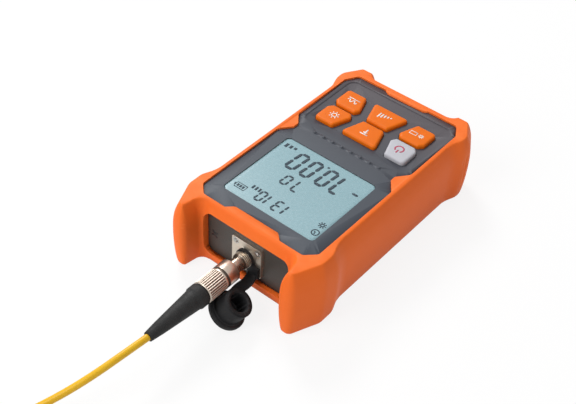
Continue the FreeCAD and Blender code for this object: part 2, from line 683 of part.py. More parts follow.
def screw(x, y, head_z, head_r, head_t, shank_r, length):
    """Screw driven upwards, its head at the bottom, with a cross recess."""
    body = post(head_r, x, y, head_z, head_z + head_t)
    body = body.fuse(post(shank_r, x, y, head_z + head_t, head_z + head_t + length))
    slot = head_r * 0.62
    body = body.cut(box(x - slot, x + slot, y - 0.22, y + 0.22, head_z - 1, head_z + head_t / 2))
    return body.cut(box(x - 0.22, x + 0.22, y - slot, y + slot, head_z - 1, head_z + head_t / 2))


def case_screws():
    return Part.makeCompound([screw(x, y, SHELL_BACK_Z + 0.5, 2.0, 1.7, CASE_SCREW_R,
                                    SPLIT_Z + 7.4 - SHELL_BACK_Z - 2.2)
                              for x, y in case_screw_places()])


def board_screws():
    return Part.makeCompound([screw(x, y, BOARD_Z - 1.3, 1.9, 1.3, BOARD_SCREW_R, 5.4)
                              for x, y in board_screw_places()])


# ---------------------------------------------------------------- keys
def key_cap(corners):
    top = PANEL_Z + KEY_RISE
    under = PANEL_UNDER - 0.05
    cap = block(corners, under - KEY_SKIRT, top)
    rim = [e for e in cap.Edges
           if all(abs(v.Point.z - top) < 1e-6 for v in e.Vertexes)]
    cap = cap.makeFillet(0.6, rim)
    cap = cap.fuse(block(inset(corners, -KEY_SKIRT_OUT), under - KEY_SKIRT, under))
    cap = cap.cut(block(inset(corners, 1.2), under - KEY_SKIRT - 1, top - 1.4))
    x, y = key_centre(corners)
    return cap.fuse(post(DOME_R * 0.6, x, y, BOARD_TOP + DOME_H, top - 1.2))


def key_dome(corners):
    """Silicone dome under a key, hollow, standing on the board."""
    x, y = key_centre(corners)
    outer = Part.makeCone(DOME_R, DOME_R * 0.6, DOME_H, V(x, y, BOARD_TOP))
    inner = Part.makeCone(DOME_R - 0.5, DOME_R * 0.6 - 0.5, DOME_H - 0.6, V(x, y, BOARD_TOP))
    return outer.cut(inner)


# ---------------------------------------------------------------- port
def flange_screw_places():
    half = FLANGE_SCREW_PITCH / 2
    return [(sx * half, AXIS_Z + sz * half) for sx in (-1, 1) for sz in (-1, 1)]


def adapter_body():
    half = FLANGE_SIDE / 2
    body = upright_plate(half, AXIS_Z - half, AXIS_Z + half, 0.8, FLANGE_FACE, PORT_FACE)
    ring = CAP_RING_T + 0.2
    neck = BARREL_R - 0.35
    # barrel: relief for the ring of the cap strap, then three turns of coarse relief
    barrel = turned([(0.5, 0.0), (0.5, neck), (-ring, neck), (-ring - 0.15, BARREL_R),
                     (-BARREL_L + 0.3, BARREL_R), (-BARREL_L, BARREL_R - 0.3),
                     (-BARREL_L, 0.0)], FLANGE_FACE)
    body = body.fuse(barrel).fuse(rod(HUB_R, PORT_FACE - 0.5, PORT_FACE + HUB_L))
    body = body.cut(rod(BARREL_BORE_R, BARREL_FRONT - 1, FLANGE_FACE + 0.9))
    body = body.cut(rod(SLEEVE_R, FLANGE_FACE, PORT_FACE + HUB_L - 0.6))
    body = body.cut(rod(SLEEVE_BORE_R, FLANGE_FACE, PORT_FACE + HUB_L + 1))
    body = body.cut(box(-KEY_SLOT_W / 2, KEY_SLOT_W / 2, BARREL_FRONT - 1,
                        BARREL_FRONT + 2.4, AXIS_Z, AXIS_Z + BARREL_R + 1))
    for x, z in flange_screw_places():
        body = body.cut(rod(FLANGE_SCREW_R + 0.05, FLANGE_FACE - 1, PORT_FACE + 1, x, z))
        body = body.cut(Part.makeCone(FLANGE_SCREW_HEAD_R + 0.05, FLANGE_SCREW_R + 0.05, 1.0,
                                      V(x, FLANGE_FACE, z), V(0, 1, 0)))
    return body


def adapter_sleeve():
    y1 = PORT_FACE + HUB_L - 0.7
    tube = rod(SLEEVE_R - 0.03, y1 - SLEEVE_L, y1).cut(rod(SLEEVE_BORE_R, y1 - SLEEVE_L - 1, y1 + 1))
    return tube.cut(box(-0.2, 0.2, y1 - SLEEVE_L - 1, y1 + 1, AXIS_Z - 3, AXIS_Z))


def flange_screws():
    pieces = []
    for x, z in flange_screw_places():
        head = Part.makeCone(FLANGE_SCREW_HEAD_R, FLANGE_SCREW_R, 1.0, V(x, FLANGE_FACE, z),
                             V(0, 1, 0))
        body = head.fuse(rod(FLANGE_SCREW_R, FLANGE_FACE + 1.0, PORT_FACE + END_PANEL_T + 1.2,
                             x, z))
        body = body.cut(box(x - 1.1, x + 1.1, FLANGE_FACE - 1, FLANGE_FACE + 0.5, z - 0.2, z + 0.2))
        body = body.cut(box(x - 0.2, x + 0.2, FLANGE_FACE - 1, FLANGE_FACE + 0.5, z - 1.1, z + 1.1))
        pieces.append(body)
    return Part.makeCompound(pieces)


def detector_holder():
    y0 = PORT_FACE + END_PANEL_T + 0.2
    y1 = PORT_FACE + HUB_L + DETECTOR_L + 0.4
    cup = rod(HUB_R + 1.6, y0, y1)
    cup = cup.cut(rod(HUB_R + 0.05, y0 - 1, PORT_FACE + HUB_L + 0.1))
    return cup.cut(rod(DETECTOR_R + 0.05, y0, y1 + 1))


def detector_can():
    y0 = PORT_FACE + HUB_L + 0.2
    can = rod(DETECTOR_R, y0, y0 + DETECTOR_L)
    can = can.cut(rod(2.0, y0 - 1, y0 + 0.4))
    for angle in (90, 210, 330):
        x = 1.9 * math.cos(math.radians(angle))
        z = AXIS_Z + 1.9 * math.sin(math.radians(angle))
        can = can.fuse(rod(0.25, y0 + DETECTOR_L, y0 + DETECTOR_L + 2.6, x, z))
    return can


def detector_board():
    y0 = PORT_FACE + HUB_L + DETECTOR_L + 0.5
    board = box(-9, 9, y0, y0 + 1.0, AXIS_Z - 8, BOARD_Z - 0.1)
    for angle in (90, 210, 330):
        x = 1.9 * math.cos(math.radians(angle))
        z = AXIS_Z + 1.9 * math.sin(math.radians(angle))
        board = board.cut(rod(0.3, y0 - 1, y0 + 2, x, z))
    return board


# ---------------------------------------------------------------- FC plug
def plug_body(y0):
    """Inner body of the plug with its key, front face at y0."""
    rear = NUT_REAR - BARREL_FRONT - PLUG_INSERT
    body = turned([(0.0, 0.0), (0.0, PLUG_BODY_R - 0.3), (-0.3, PLUG_BODY_R),
                   (rear + 4.0, PLUG_BODY_R), (rear + 4.0, 2.7), (rear - 5.0, 2.7),
                   (rear - 5.0, 0.0)], y0)
    body = body.cut(rod(FERRULE_NECK_R + FERRULE_FIT, y0 - 6, y0 + 1))
    return body.fuse(box(-KEY_SLOT_W / 2 + 0.1, KEY_SLOT_W / 2 - 0.1, y0 - 3.0, y0 - 1.0,
                         AXIS_Z + PLUG_BODY_R - 0.3, AXIS_Z + BARREL_R - 0.25))


def plug_ferrule(y0):
    tip = FERRULE_OUT
    held = FERRULE_NECK_R
    return turned([(tip, 0.0), (tip, FERRULE_R - 0.35), (tip - 0.5, FERRULE_R),
                   (0.1, FERRULE_R), (0.1, held), (-6.0, held), (-6.0, 0.0)], y0)


def coupling_nut(y0):
    """Coupling nut: smooth collar in front, grip behind, hollow for the barrel thread."""
    back = -NUT_L
    nut = turned([(0.0, NUT_BORE_R), (0.0, NUT_R - 0.45), (-0.45, NUT_R - 0.1),
                  (-NUT_COLLAR_L, NUT_R - 0.1), (-NUT_COLLAR_L - 0.4, NUT_R - 0.5),
                  (-NUT_COLLAR_L - 0.9, NUT_R - 0.5), (-NUT_COLLAR_L - 1.2, NUT_R),
                  (back + 0.5, NUT_R), (back, NUT_R - 0.5), (back, NUT_NECK_R),
                  (-NUT_RING_SET - NUT_RING_T - 0.15, NUT_NECK_R),
                  (-NUT_RING_SET - NUT_RING_T - 0.15, NUT_RING_R + 0.3),
                  (-NUT_RING_SET + 0.15, NUT_RING_R + 0.3), (-NUT_RING_SET + 0.15, NUT_NECK_R),
                  (-9.0, NUT_NECK_R), (-9.0, NUT_BORE_R)], y0)
    return nut


def nut_ring(y0):
    """Split ring that holds the nut on the plug and lets it turn."""
    ring = turned([(-NUT_RING_SET, NUT_NECK_R), (-NUT_RING_SET, NUT_RING_R),
                   (-NUT_RING_SET - NUT_RING_T, NUT_RING_R),
                   (-NUT_RING_SET - NUT_RING_T, NUT_NECK_R)], y0)
    return ring.cut(box(-0.5, 0.5, y0 - NUT_L, y0, AXIS_Z - 5, AXIS_Z))


def plug_boot(y0):
    """Tapered rubber boot with a shoulder and shallow waists."""
    core = 2.75
    profile = [(0.0, core), (0.0, PLUG_BOOT_R0 - 0.4), (-0.4, PLUG_BOOT_R0)]
    profile += [(-3.6, PLUG_BOOT_R0), (-4.4, PLUG_BOOT_R0 - 0.45)]
    profile += [(-PLUG_BOOT_L + 6.0, PLUG_BOOT_R1 + 0.7), (-PLUG_BOOT_L, PLUG_BOOT_R1)]
    profile += [(-PLUG_BOOT_L, 0.0), (-6.0, 0.0), (-6.0, core)]
    return turned(profile, y0)


# ---------------------------------------------------------------- dust cap
CAP_AXIS = V(*CAP_MOUTH).normalize()
CAP_ACROSS = V(CAP_AXIS.z, 0, -CAP_AXIS.x).normalize()
CAP_LEAN = math.acos(CAP_AXIS.z)
CAP_REST = (CAP_HEAD_R - CAP_EDGE_R) * math.sin(CAP_LEAN) + CAP_EDGE_R * (1 - math.cos(CAP_LEAN))
CAP_HEAD = V(CAP_SIDE, BARREL_FRONT - CAP_AHEAD, CAP_REST + 0.05)
CAP_RING_BACK = FLANGE_FACE - 0.1


def leaned(shape):
    """Lean a piece of the cap drawn upright, and put it in its place."""
    copy = shape.copy()
    copy.rotate(V(0, 0, 0), V(-CAP_AXIS.y, CAP_AXIS.x, 0), math.degrees(CAP_LEAN))
    copy.translate(CAP_HEAD)
    return copy


def cap_body():
    """Head and skirt, turned on their own axis and solid inside."""
    head = post(CAP_HEAD_R, 0, 0, 0, CAP_HEAD_T)
    head = head.makeFillet(CAP_EDGE_R, [e for e in head.Edges if e.Closed])
    return head.fuse(post(CAP_SKIRT_R, 0, 0, CAP_HEAD_T - 0.8, CAP_HEAD_T + CAP_SKIRT_L))


def dust_cap():
    """The cap itself, its mouth up, lying on the table in front of the port."""
    bore = post(CAP_SKIRT_BORE_R, 0, 0, CAP_HEAD_T + 0.1, CAP_HEAD_T + CAP_SKIRT_L + 1)
    return leaned(cap_body().cut(bore))


def strap_section(t, start, end, pull_start, pull_end):
    """Cross-section of the strap at t from 0 at its ring to 1 at the cap's head."""
    a, b = (1 + 2 * t) * (1 - t) ** 2, t * (1 - t) ** 2
    c, d = t * t * (3 - 2 * t), t * t * (t - 1)
    spot = start * a + pull_start * (3 * b) + end * c + pull_end * (3 * d)
    slope_a, slope_b = 6 * t * t - 6 * t, 1 - 4 * t + 3 * t * t
    slope_d = 3 * t * t - 2 * t
    along = (start - end) * slope_a + pull_start * (3 * slope_b) + pull_end * (3 * slope_d)
    along = along.normalize()
    across = V(1, 0, 0) * (1 - t) + CAP_ACROSS * t
    across = (across - along * across.dot(along)).normalize()
    up = along.cross(across)
    w, h = across * (CAP_STRAP_W / 2), up * (CAP_STRAP_T / 2)
    return Part.makePolygon([spot + w + h, spot - w + h, spot - w - h, spot + w - h, spot + w + h])


def cap_strap():
    """Ring round the barrel and the strap that the cap hangs on, turning as it goes."""
    back, front = CAP_RING_BACK, CAP_RING_BACK - CAP_RING_T
    start = V(4.4, (back + front) / 2, AXIS_Z - CAP_RING_R - 0.3)
    along_rim = (CAP_AXIS.cross(CAP_ACROSS) * 0.92 - CAP_ACROSS * 0.40).normalize()
    end = CAP_HEAD + CAP_AXIS * (CAP_HEAD_T / 2) + along_rim * (CAP_HEAD_R - 1.2)
    steps = 6
    sections = [strap_section(i / steps, start, end, V(1.5, -7.0, -3.0), V(0.5, -6.0, -3.0))
                for i in range(steps + 1)]
    strap = Part.makeLoft(sections, True, False)
    lug = box(1.4, 7.4, front, back, start.z - 1.2, AXIS_Z - 2.0)
    moulding = rod(CAP_RING_R, front, back).fuse(lug).fuse(strap)
    moulding = moulding.cut(rod(BARREL_R - 0.3, front - 1, back + 1))
    return moulding.cut(leaned(cap_body()))


# ---------------------------------------------------------------- batteries
def cell_x(i):
    return (i - (CELL_COUNT - 1) / 2) * CELL_PITCH


def battery_cell(i):
    """AAA cell; the middle one faces the other way."""
    spring_end = BAY_PORT + CONTACT_SPRING_L
    cell = turned([(0.0, 0.0), (0.0, CELL_R - 0.5), (0.5, CELL_R), (CELL_L - 1.3, CELL_R),
                   (CELL_L - 0.9, CELL_R - 0.4), (CELL_L - 0.9, 1.9), (CELL_L, 1.9),
                   (CELL_L, 0.0)], spring_end, cell_x(i), CELL_Z)
    if i % 2:
        centre = V(cell_x(i), spring_end + CELL_L / 2, CELL_Z)
        cell.rotate(centre, V(0, 0, 1), 180)
    return cell


def spring_contacts():
    """Bent leaf springs at the port end of the bay."""
    leaves = []
    for i in range(CELL_COUNT):
        x = cell_x(i)
        leaf = box(x - 3.2, x + 3.2, BAY_PORT, BAY_PORT + 0.4, CELL_Z - 4, CELL_Z + 4)
        arm = Part.Face(Part.makePolygon([
            V(x - 2, BAY_PORT + 0.4, CELL_Z + 3), V(x - 2, CONTACT_SPRING_L + BAY_PORT, CELL_Z),
            V(x - 2, BAY_PORT + 0.4, CELL_Z - 3), V(x - 2, BAY_PORT + 0.4, CELL_Z - 2.4),
            V(x - 2, CONTACT_SPRING_L + BAY_PORT - 0.4, CELL_Z),
            V(x - 2, BAY_PORT + 0.4, CELL_Z + 2.4), V(x - 2, BAY_PORT + 0.4, CELL_Z + 3)]))
        leaves.append(leaf.fuse(arm.extrude(V(4, 0, 0))))
    return Part.makeCompound(leaves)


def plate_contacts():
    plates = []
    for i in range(CELL_COUNT):
        x = cell_x(i)
        plates.append(box(x - 3.4, x + 3.4, BAY_TAIL - 0.5, BAY_TAIL, CELL_Z - 4, CELL_Z + 4))
    return Part.makeCompound(plates)


# ---------------------------------------------------------------- cord
# the route from the plug's boot to the coil, chosen by hand: across, ahead of the exit, height
CORD_POINTS = [
    (-1.2, 11.9, 16.8),
    (-3.6, 23.9, 14.6),
    (-8.6, 35.4, 9.8),
    (-15.3, 46.9, 4.6),
    (-21.5, 59.9, 1.9),
    (-25.3, 73.4, CORD_R),
    (-26.7, 82.9, CORD_R),
]
CORD_ROUTE = [CORD_EXIT] + [V(x, CORD_EXIT.y - ahead, z) for x, ahead, z in CORD_POINTS]
COIL_MEAN_R = 18.0
COIL_HALF_W = 4.6
COIL_H = 9.2
COIL_LEAVE_R = 20.9        # radius where the cord leaves the coil
COIL_HEADING = (CORD_ROUTE[-1] - CORD_ROUTE[-2]).normalize()
COIL_CENTRE = CORD_ROUTE[-1] + V(-COIL_HEADING.y, COIL_HEADING.x, 0) * COIL_MEAN_R
# the last stretch, from the coil to the plug at the far end
TAIL_ROUTE = [
    V(COIL_CENTRE.x - 1.0, COIL_CENTRE.y - COIL_LEAVE_R, CORD_R),
    V(COIL_CENTRE.x + 9.0, COIL_CENTRE.y - COIL_LEAVE_R, CORD_R),
    V(COIL_CENTRE.x + 19.5, COIL_CENTRE.y - COIL_LEAVE_R - 2.0, CORD_R),
    V(COIL_CENTRE.x + 26.9, COIL_CENTRE.y - COIL_LEAVE_R - 4.4, CORD_R + 0.85),
]


def rounded_path(points):
    """Straight runs joined by tangent arcs as large as the shorter run beside them allows."""
    edges = []
    last = points[0]
    radii = []
    for i in range(1, len(points) - 1):
        before, corner, after = points[i - 1], points[i], points[i + 1]
        back, ahead = before - corner, after - corner
        turn = math.pi - back.getAngle(ahead)
        reach = 0.45 * min(back.Length, ahead.Length)
        radius = reach / math.tan(turn / 2)
        start, middle, end = rounded_corner(before, corner, after, radius)
        edges.append(Part.LineSegment(last, start).toShape())
        edges.append(Part.Arc(start, middle, end).toShape())
        radii.append(radius)
        last = end
    edges.append(Part.LineSegment(last, points[-1]).toShape())
    return Part.Wire(edges), radii


def cord_solid(points, label):
    path, radii = rounded_path(points)
    first = path.Edges[0]
    heading = first.tangentAt(first.FirstParameter)
    ring = Part.Wire(Part.makeCircle(CORD_R, points[0], heading))
    solid = path.makePipeShell([ring], True, True)
    expected = math.pi * CORD_R ** 2 * path.Length
    print(label, "radii", [round(r, 1) for r in radii], "length", round(path.Length, 2),
          "volume ratio", round(solid.Volume / expected, 5))
    return solid


def cord_coil():
    """Outer shape of the wound length: a ring with a rounded section."""
    c = COIL_CENTRE
    r0, r1 = COIL_MEAN_R - COIL_HALF_W, COIL_MEAN_R + COIL_HALF_W
    ring = post(r1, c.x, c.y, 0, COIL_H).cut(post(r0, c.x, c.y, -1, COIL_H + 1))
    return ring.makeFillet(1.4, [e for e in ring.Edges if e.Closed])


def at_far_end(shape):
    """The same plug piece moved from the meter to the far end of the cord, lying on the table."""
    last = TAIL_ROUTE[-1] - TAIL_ROUTE[-2]
    flat = math.hypot(last.x, last.y)
    copy = shape.copy()
    copy.translate(CORD_EXIT * -1)
    copy.rotate(V(0, 0, 0), V(1, 0, 0), math.degrees(math.atan2(last.z, flat)))
    copy.rotate(V(0, 0, 0), V(0, 0, 1), math.degrees(math.atan2(-last.x, last.y)))
    copy.translate(TAIL_ROUTE[-1])
    return copy


# ---------------------------------------------------------------- build
def build():
    keep("protective_boot", protective_boot())
    keep("front_shell", front_shell())
    keep("rear_shell", rear_shell())
    keep("end_panel", end_panel())
    keep("battery_door", battery_door())
    keep("display_window", display_window())
    keep("lcd_glass", lcd_glass())
    keep("backlight_plate", backlight_plate())
    keep("lcd_frame", lcd_frame())
    keep("zebra_strip", zebra_strip())
    keep("main_board", main_board())
    keep("main_chip", main_chip())
    keep("board_parts", board_parts())
    keep("case_screws", case_screws())
    keep("board_screws", board_screws())
    for name, corners in key_shapes().items():
        keep(name, key_cap(corners))
        keep(name.replace("_key", "_dome"), key_dome(corners))
    keep("adapter_body", adapter_body())
    keep("adapter_sleeve", adapter_sleeve())
    keep("flange_screws", flange_screws())
    keep("detector_holder", detector_holder())
    keep("detector_can", detector_can())
    keep("detector_board", detector_board())
    keep("dust_cap", dust_cap())
    keep("cap_strap", cap_strap())

    body_face = BARREL_FRONT + PLUG_INSERT
    pieces = {
        "plug_body": plug_body(body_face),
        "plug_ferrule": plug_ferrule(body_face),
        "coupling_nut": coupling_nut(NUT_FRONT),
        "nut_ring": nut_ring(NUT_FRONT),
        "plug_boot": plug_boot(PLUG_BOOT_FRONT),
    }
    for name, shape in pieces.items():
        keep(name, shape)
        keep("far_" + name, at_far_end(shape))

    tube = keep("cord_tube", cord_solid(CORD_ROUTE, "cord"))
    tail = keep("cord_tail", cord_solid(TAIL_ROUTE, "tail"))
    keep("cord_coil", cord_coil().cut(tube).cut(tail))
    for i in range(CELL_COUNT):
        keep("battery_%d" % (i + 1), battery_cell(i))
    keep("spring_contacts", spring_contacts())
    keep("plate_contacts", plate_contacts())


build()
os.makedirs("parts", exist_ok=True)
for node, shape in NODES.items():
    if not shape.isValid():
        print("invalid", node)
    shape.exportStep("parts/%s.step" % node)
    b = shape.BoundBox
    print("%-18s %2d solids  x %.1f %.1f  y %.1f %.1f  z %.1f %.1f  v %.0f" % (
        node, len(shape.Solids), b.XMin, b.XMax, b.YMin, b.YMax, b.ZMin, b.ZMax, shape.Volume))
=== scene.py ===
# %% [markdown]
# # A hand-held optical power meter with its patch cord
# The solid model arrives as a fixed frame. Every visible piece made below is laid over it and
# rides on one of its bodies, so keys, nuts, cap and battery door still move.
# %% Load the frame
import json
import math

import bmesh
import bpy
from mathutils import Matrix, Vector
from mathutils.bvhtree import BVHTree


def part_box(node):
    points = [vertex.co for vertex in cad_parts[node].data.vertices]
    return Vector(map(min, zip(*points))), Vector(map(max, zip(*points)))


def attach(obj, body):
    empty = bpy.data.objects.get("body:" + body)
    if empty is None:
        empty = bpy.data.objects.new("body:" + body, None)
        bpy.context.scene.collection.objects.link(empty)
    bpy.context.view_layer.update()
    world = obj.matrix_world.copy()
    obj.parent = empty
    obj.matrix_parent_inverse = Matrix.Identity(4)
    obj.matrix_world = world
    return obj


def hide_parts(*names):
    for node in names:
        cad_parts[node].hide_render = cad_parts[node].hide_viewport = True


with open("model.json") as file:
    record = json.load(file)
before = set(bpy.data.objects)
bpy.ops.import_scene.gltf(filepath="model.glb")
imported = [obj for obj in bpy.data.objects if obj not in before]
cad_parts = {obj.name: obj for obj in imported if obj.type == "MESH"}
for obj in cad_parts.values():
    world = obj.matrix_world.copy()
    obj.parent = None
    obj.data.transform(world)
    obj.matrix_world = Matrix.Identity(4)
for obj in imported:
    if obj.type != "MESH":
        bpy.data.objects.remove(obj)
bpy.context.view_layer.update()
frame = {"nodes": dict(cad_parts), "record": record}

MM = 0.001
NODES = frame["nodes"]
BODY_OF = {n: b for b, ns in frame["record"]["behaviour"]["bodies"].items() for n in ns}


def placed(name, data):
    """A new object for some data, at the origin of the scene."""
    made = bpy.data.objects.new(name, data)
    bpy.context.scene.collection.objects.link(made)
    return made


# %% [markdown]
# ## The camera
# It looks down on the port end from the left-hand corner, with a long lens, so that the case
# keeps nearly parallel edges. Its three axes are written as a matrix.
# %% Camera
CAMERA_PLACE = Vector((0.1966, -0.2867, 0.3349))
CAMERA_RIGHT = Vector((0.76896, 0.63792, 0.04209))
CAMERA_UP = Vector((-0.46181, 0.50873, 0.72658))
CAMERA_BACK = Vector((0.4421, -0.5781, 0.6858))


def add_camera():
    data = bpy.data.cameras.new("bench_camera")
    data.lens, data.sensor_width = 67.2, 36.0
    data.clip_start, data.clip_end = 0.01, 20.0
    camera = placed("bench_camera", data)
    turn = Matrix((CAMERA_RIGHT, CAMERA_UP, CAMERA_BACK)).transposed()
    camera.matrix_world = Matrix.Translation(CAMERA_PLACE) @ turn.to_4x4()
    bpy.context.scene.camera = camera
    return camera


print("camera at", tuple(add_camera().location))


# %% [markdown]
# ## The cord
# A 3 mm patch cord leaves the rubber boot of the plug, sinks to the table in a long curve and
# is wound into a neat coil of a little over seven turns, three wide and three high, tied once.
# A short end leads to the second plug. One NURBS curve carries the whole length. Each turn
# steps to the next place in the coil where the turn after it has already moved on, so that no
# two turns share a place.
# %% Route of the cord, in millimetres
CORD_R = 1.5
CORD_ROUTE = [
    (0.0, -111.6, 17.2),
    (-1.2, -123.5, 16.8),
    (-3.6, -135.5, 14.6),
    (-8.6, -147.0, 9.8),
    (-15.3, -158.5, 4.6),
    (-21.5, -171.5, 1.9),
    (-25.3, -185.0, 1.5),
    (-26.7, -194.5, 1.5),
]
COIL_MEAN_R = 18.0
COIL_LEAVE_R = 20.9
heading = (Vector(CORD_ROUTE[-1]) - Vector(CORD_ROUTE[-2])).normalized()
COIL_CENTRE = Vector(CORD_ROUTE[-1]) + Vector((-heading.y, heading.x, 0)) * COIL_MEAN_R
TAIL_ROUTE = [
    (COIL_CENTRE.x - 1.0, COIL_CENTRE.y - COIL_LEAVE_R, CORD_R),
    (COIL_CENTRE.x + 9.0, COIL_CENTRE.y - COIL_LEAVE_R, CORD_R),
    (COIL_CENTRE.x + 19.5, COIL_CENTRE.y - COIL_LEAVE_R - 2.0, CORD_R),
    (COIL_CENTRE.x + 26.9, COIL_CENTRE.y - COIL_LEAVE_R - 4.4, 2.35),
]
# radius and layer of each turn
TURN_PLACES = [(18, 0), (15, 0), (15, 1), (15, 2), (18, 2), (21, 2), (21, 1), (21, 0)]
POINTS_PER_TURN = 24
LAYER_STEP = 2.85
COIL_LIFT = 0.35           # room for the tie under the coil
LIFT_TURNS = 0.25          # part of a turn in which the coil rises, and sinks again
LEAVE_ANGLE = 256
# parts of a turn: where the last turn steps to its next place, and how long a step is
STEP_START = 0.16
STEP_LENGTH = 0.12


def ease(t):
    """0 to 1 with a soft start and end."""
    t = min(1.0, max(0.0, t))
    return t * t * (3 - 2 * t)


def coil_points():
    """Points of the turns, from where the cord arrives to where it leaves."""
    first = math.atan2(CORD_ROUTE[-1][1] - COIL_CENTRE.y, CORD_ROUTE[-1][0] - COIL_CENTRE.x)
    last = math.radians(LEAVE_ANGLE)
    turns = len(TURN_PLACES) - 1 + (last - first) / (2 * math.pi)
    count = round(turns * POINTS_PER_TURN)
    shrink = math.cos(math.pi / POINTS_PER_TURN)
    points = []
    for i in range(1, count + 1):
        t = turns * i / count
        turn = min(int(t), len(TURN_PLACES) - 1)
        radius, layer = TURN_PLACES[turn]
        if turn < len(TURN_PLACES) - 1:
            start = STEP_START + STEP_LENGTH * (len(TURN_PLACES) - 2 - turn)
            step = ease((t - turn - start) / STEP_LENGTH)
            next_radius, next_layer = TURN_PLACES[turn + 1]
            radius += (next_radius - radius) * step
            layer += (next_layer - layer) * step
        angle = first + 2 * math.pi * t
        radius /= shrink
        lift = COIL_LIFT * ease(t / LIFT_TURNS) * ease((turns - t) / LIFT_TURNS)
        points.append((COIL_CENTRE.x + radius * math.cos(angle),
                       COIL_CENTRE.y + radius * math.sin(angle),
                       CORD_R + lift + LAYER_STEP * layer))
    return points


# %% The cord as one curve
def add_cord():
    route = CORD_ROUTE + coil_points() + TAIL_ROUTE
    curve = bpy.data.curves.new("patch_cord", "CURVE")
    curve.dimensions = "3D"
    spline = curve.splines.new("NURBS")
    spline.points.add(len(route) - 1)
    for point, place in zip(spline.points, route):
        point.co = (place[0] * MM, place[1] * MM, place[2] * MM, 1.0)
    spline.order_u = 3
    spline.use_endpoint_u = True
    curve.resolution_u = 5
    curve.bevel_depth = CORD_R * MM
    curve.bevel_resolution = 5
    curve.use_fill_caps = True
    return placed("patch_cord", curve)


patch_cord = add_cord()
print("cord points", len(patch_cord.data.splines[0].points))


# %% [markdown]
# ## Table, studio light and background
# The meter stands on a plain white table. Two soft boxes light it: the stronger one stands
# behind the left-hand corner, the wider one fills the port end. The world is white where the
# camera, a mirror or a pane looks at it, and less than half as strong where it lights the
# object, so the ground stays white without washing out the colours.
# %% Table
def node(tree, kind, **values):
    """Adds one shader or geometry node and sets its sockets and options by name."""
    made = tree.nodes.new(kind)
    for key, value in values.items():
        if key in made.inputs:
            made.inputs[key].default_value = value
        else:
            setattr(made, key, value)
    return made


def wire(tree, *pairs):
    """Joins outputs to inputs, given as pairs."""
    for out, into in pairs:
        tree.links.new(out, into)


def seen_directly(tree):
    """1 for a ray from the camera, a mirror or a pane, 0 for a ray that gathers light."""
    path = tree.nodes.new("ShaderNodeLightPath")
    seen = path.outputs["Is Camera Ray"]
    for kind in ("Is Glossy Ray", "Is Transmission Ray"):
        either = node(tree, "ShaderNodeMath", operation="MAXIMUM")
        wire(tree, (seen, either.inputs[0]), (path.outputs[kind], either.inputs[1]))
        seen = either.outputs[0]
    return seen


def blend(tree, factor, one, other, out):
    """Mixes two shaders by a factor and ends the tree with them."""
    mix = tree.nodes.new("ShaderNodeMixShader")
    end = tree.nodes.new(out)
    wire(tree, (factor, mix.inputs[0]), (one.outputs[0], mix.inputs[1]),
         (other.outputs[0], mix.inputs[2]), (mix.outputs[0], end.inputs["Surface"]))


TABLE_HALF, TABLE_Z = 2.5, -1e-4
TABLE_GLOW = 0.86


def add_table():
    mesh = bpy.data.meshes.new("table_top")
    corners = [(x * TABLE_HALF, y * TABLE_HALF, TABLE_Z)
               for x, y in ((-1, -1), (1, -1), (1, 1), (-1, 1))]
    mesh.from_pydata(corners, [], [(0, 1, 2, 3)])
    paint = bpy.data.materials.new("white_table")
    paint.use_nodes = True
    tree = paint.node_tree
    tree.nodes.clear()
    matt = node(tree, "ShaderNodeBsdfDiffuse", Color=(0.92, 0.92, 0.92, 1))
    glow = node(tree, "ShaderNodeEmission", Strength=1.0)
    part = node(tree, "ShaderNodeMath", operation="MULTIPLY")
    part.inputs[1].default_value = TABLE_GLOW
    wire(tree, (seen_directly(tree), part.inputs[0]))
    blend(tree, part.outputs[0], matt, glow, "ShaderNodeOutputMaterial")
    mesh.materials.append(paint)
    placed("table_top", mesh)


add_table()
print("table laid at z =", TABLE_Z / MM, "mm")


# %% Soft boxes and world
def add_soft_box(name, place, aim, size, power):
    data = bpy.data.lights.new(name, "AREA")
    data.shape, data.size, data.energy = "SQUARE", size, power
    lamp = placed(name, data)
    lamp.location = place
    lamp.rotation_euler = (Vector(aim) - Vector(place)).to_track_quat("-Z", "Y").to_euler()


def add_world():
    world = bpy.data.worlds.new("studio")
    bpy.context.scene.world = world
    world.use_nodes = True
    tree = world.node_tree
    tree.nodes.clear()
    lit = node(tree, "ShaderNodeBackground", Color=(1, 1, 1, 1), Strength=0.40)
    seen = node(tree, "ShaderNodeBackground", Color=(1, 1, 1, 1), Strength=1.0)
    blend(tree, seen_directly(tree), lit, seen, "ShaderNodeOutputWorld")


add_world()
add_soft_box("soft_box_behind", (-1.05, 0.62, 1.25), (0, -0.02, 0.02), 0.5, 17.0)
add_soft_box("soft_box_port_end", (-0.35, -0.95, 0.85), (0, -0.03, 0.02), 0.7, 9.5)
bpy.context.scene.view_settings.view_transform = "Standard"


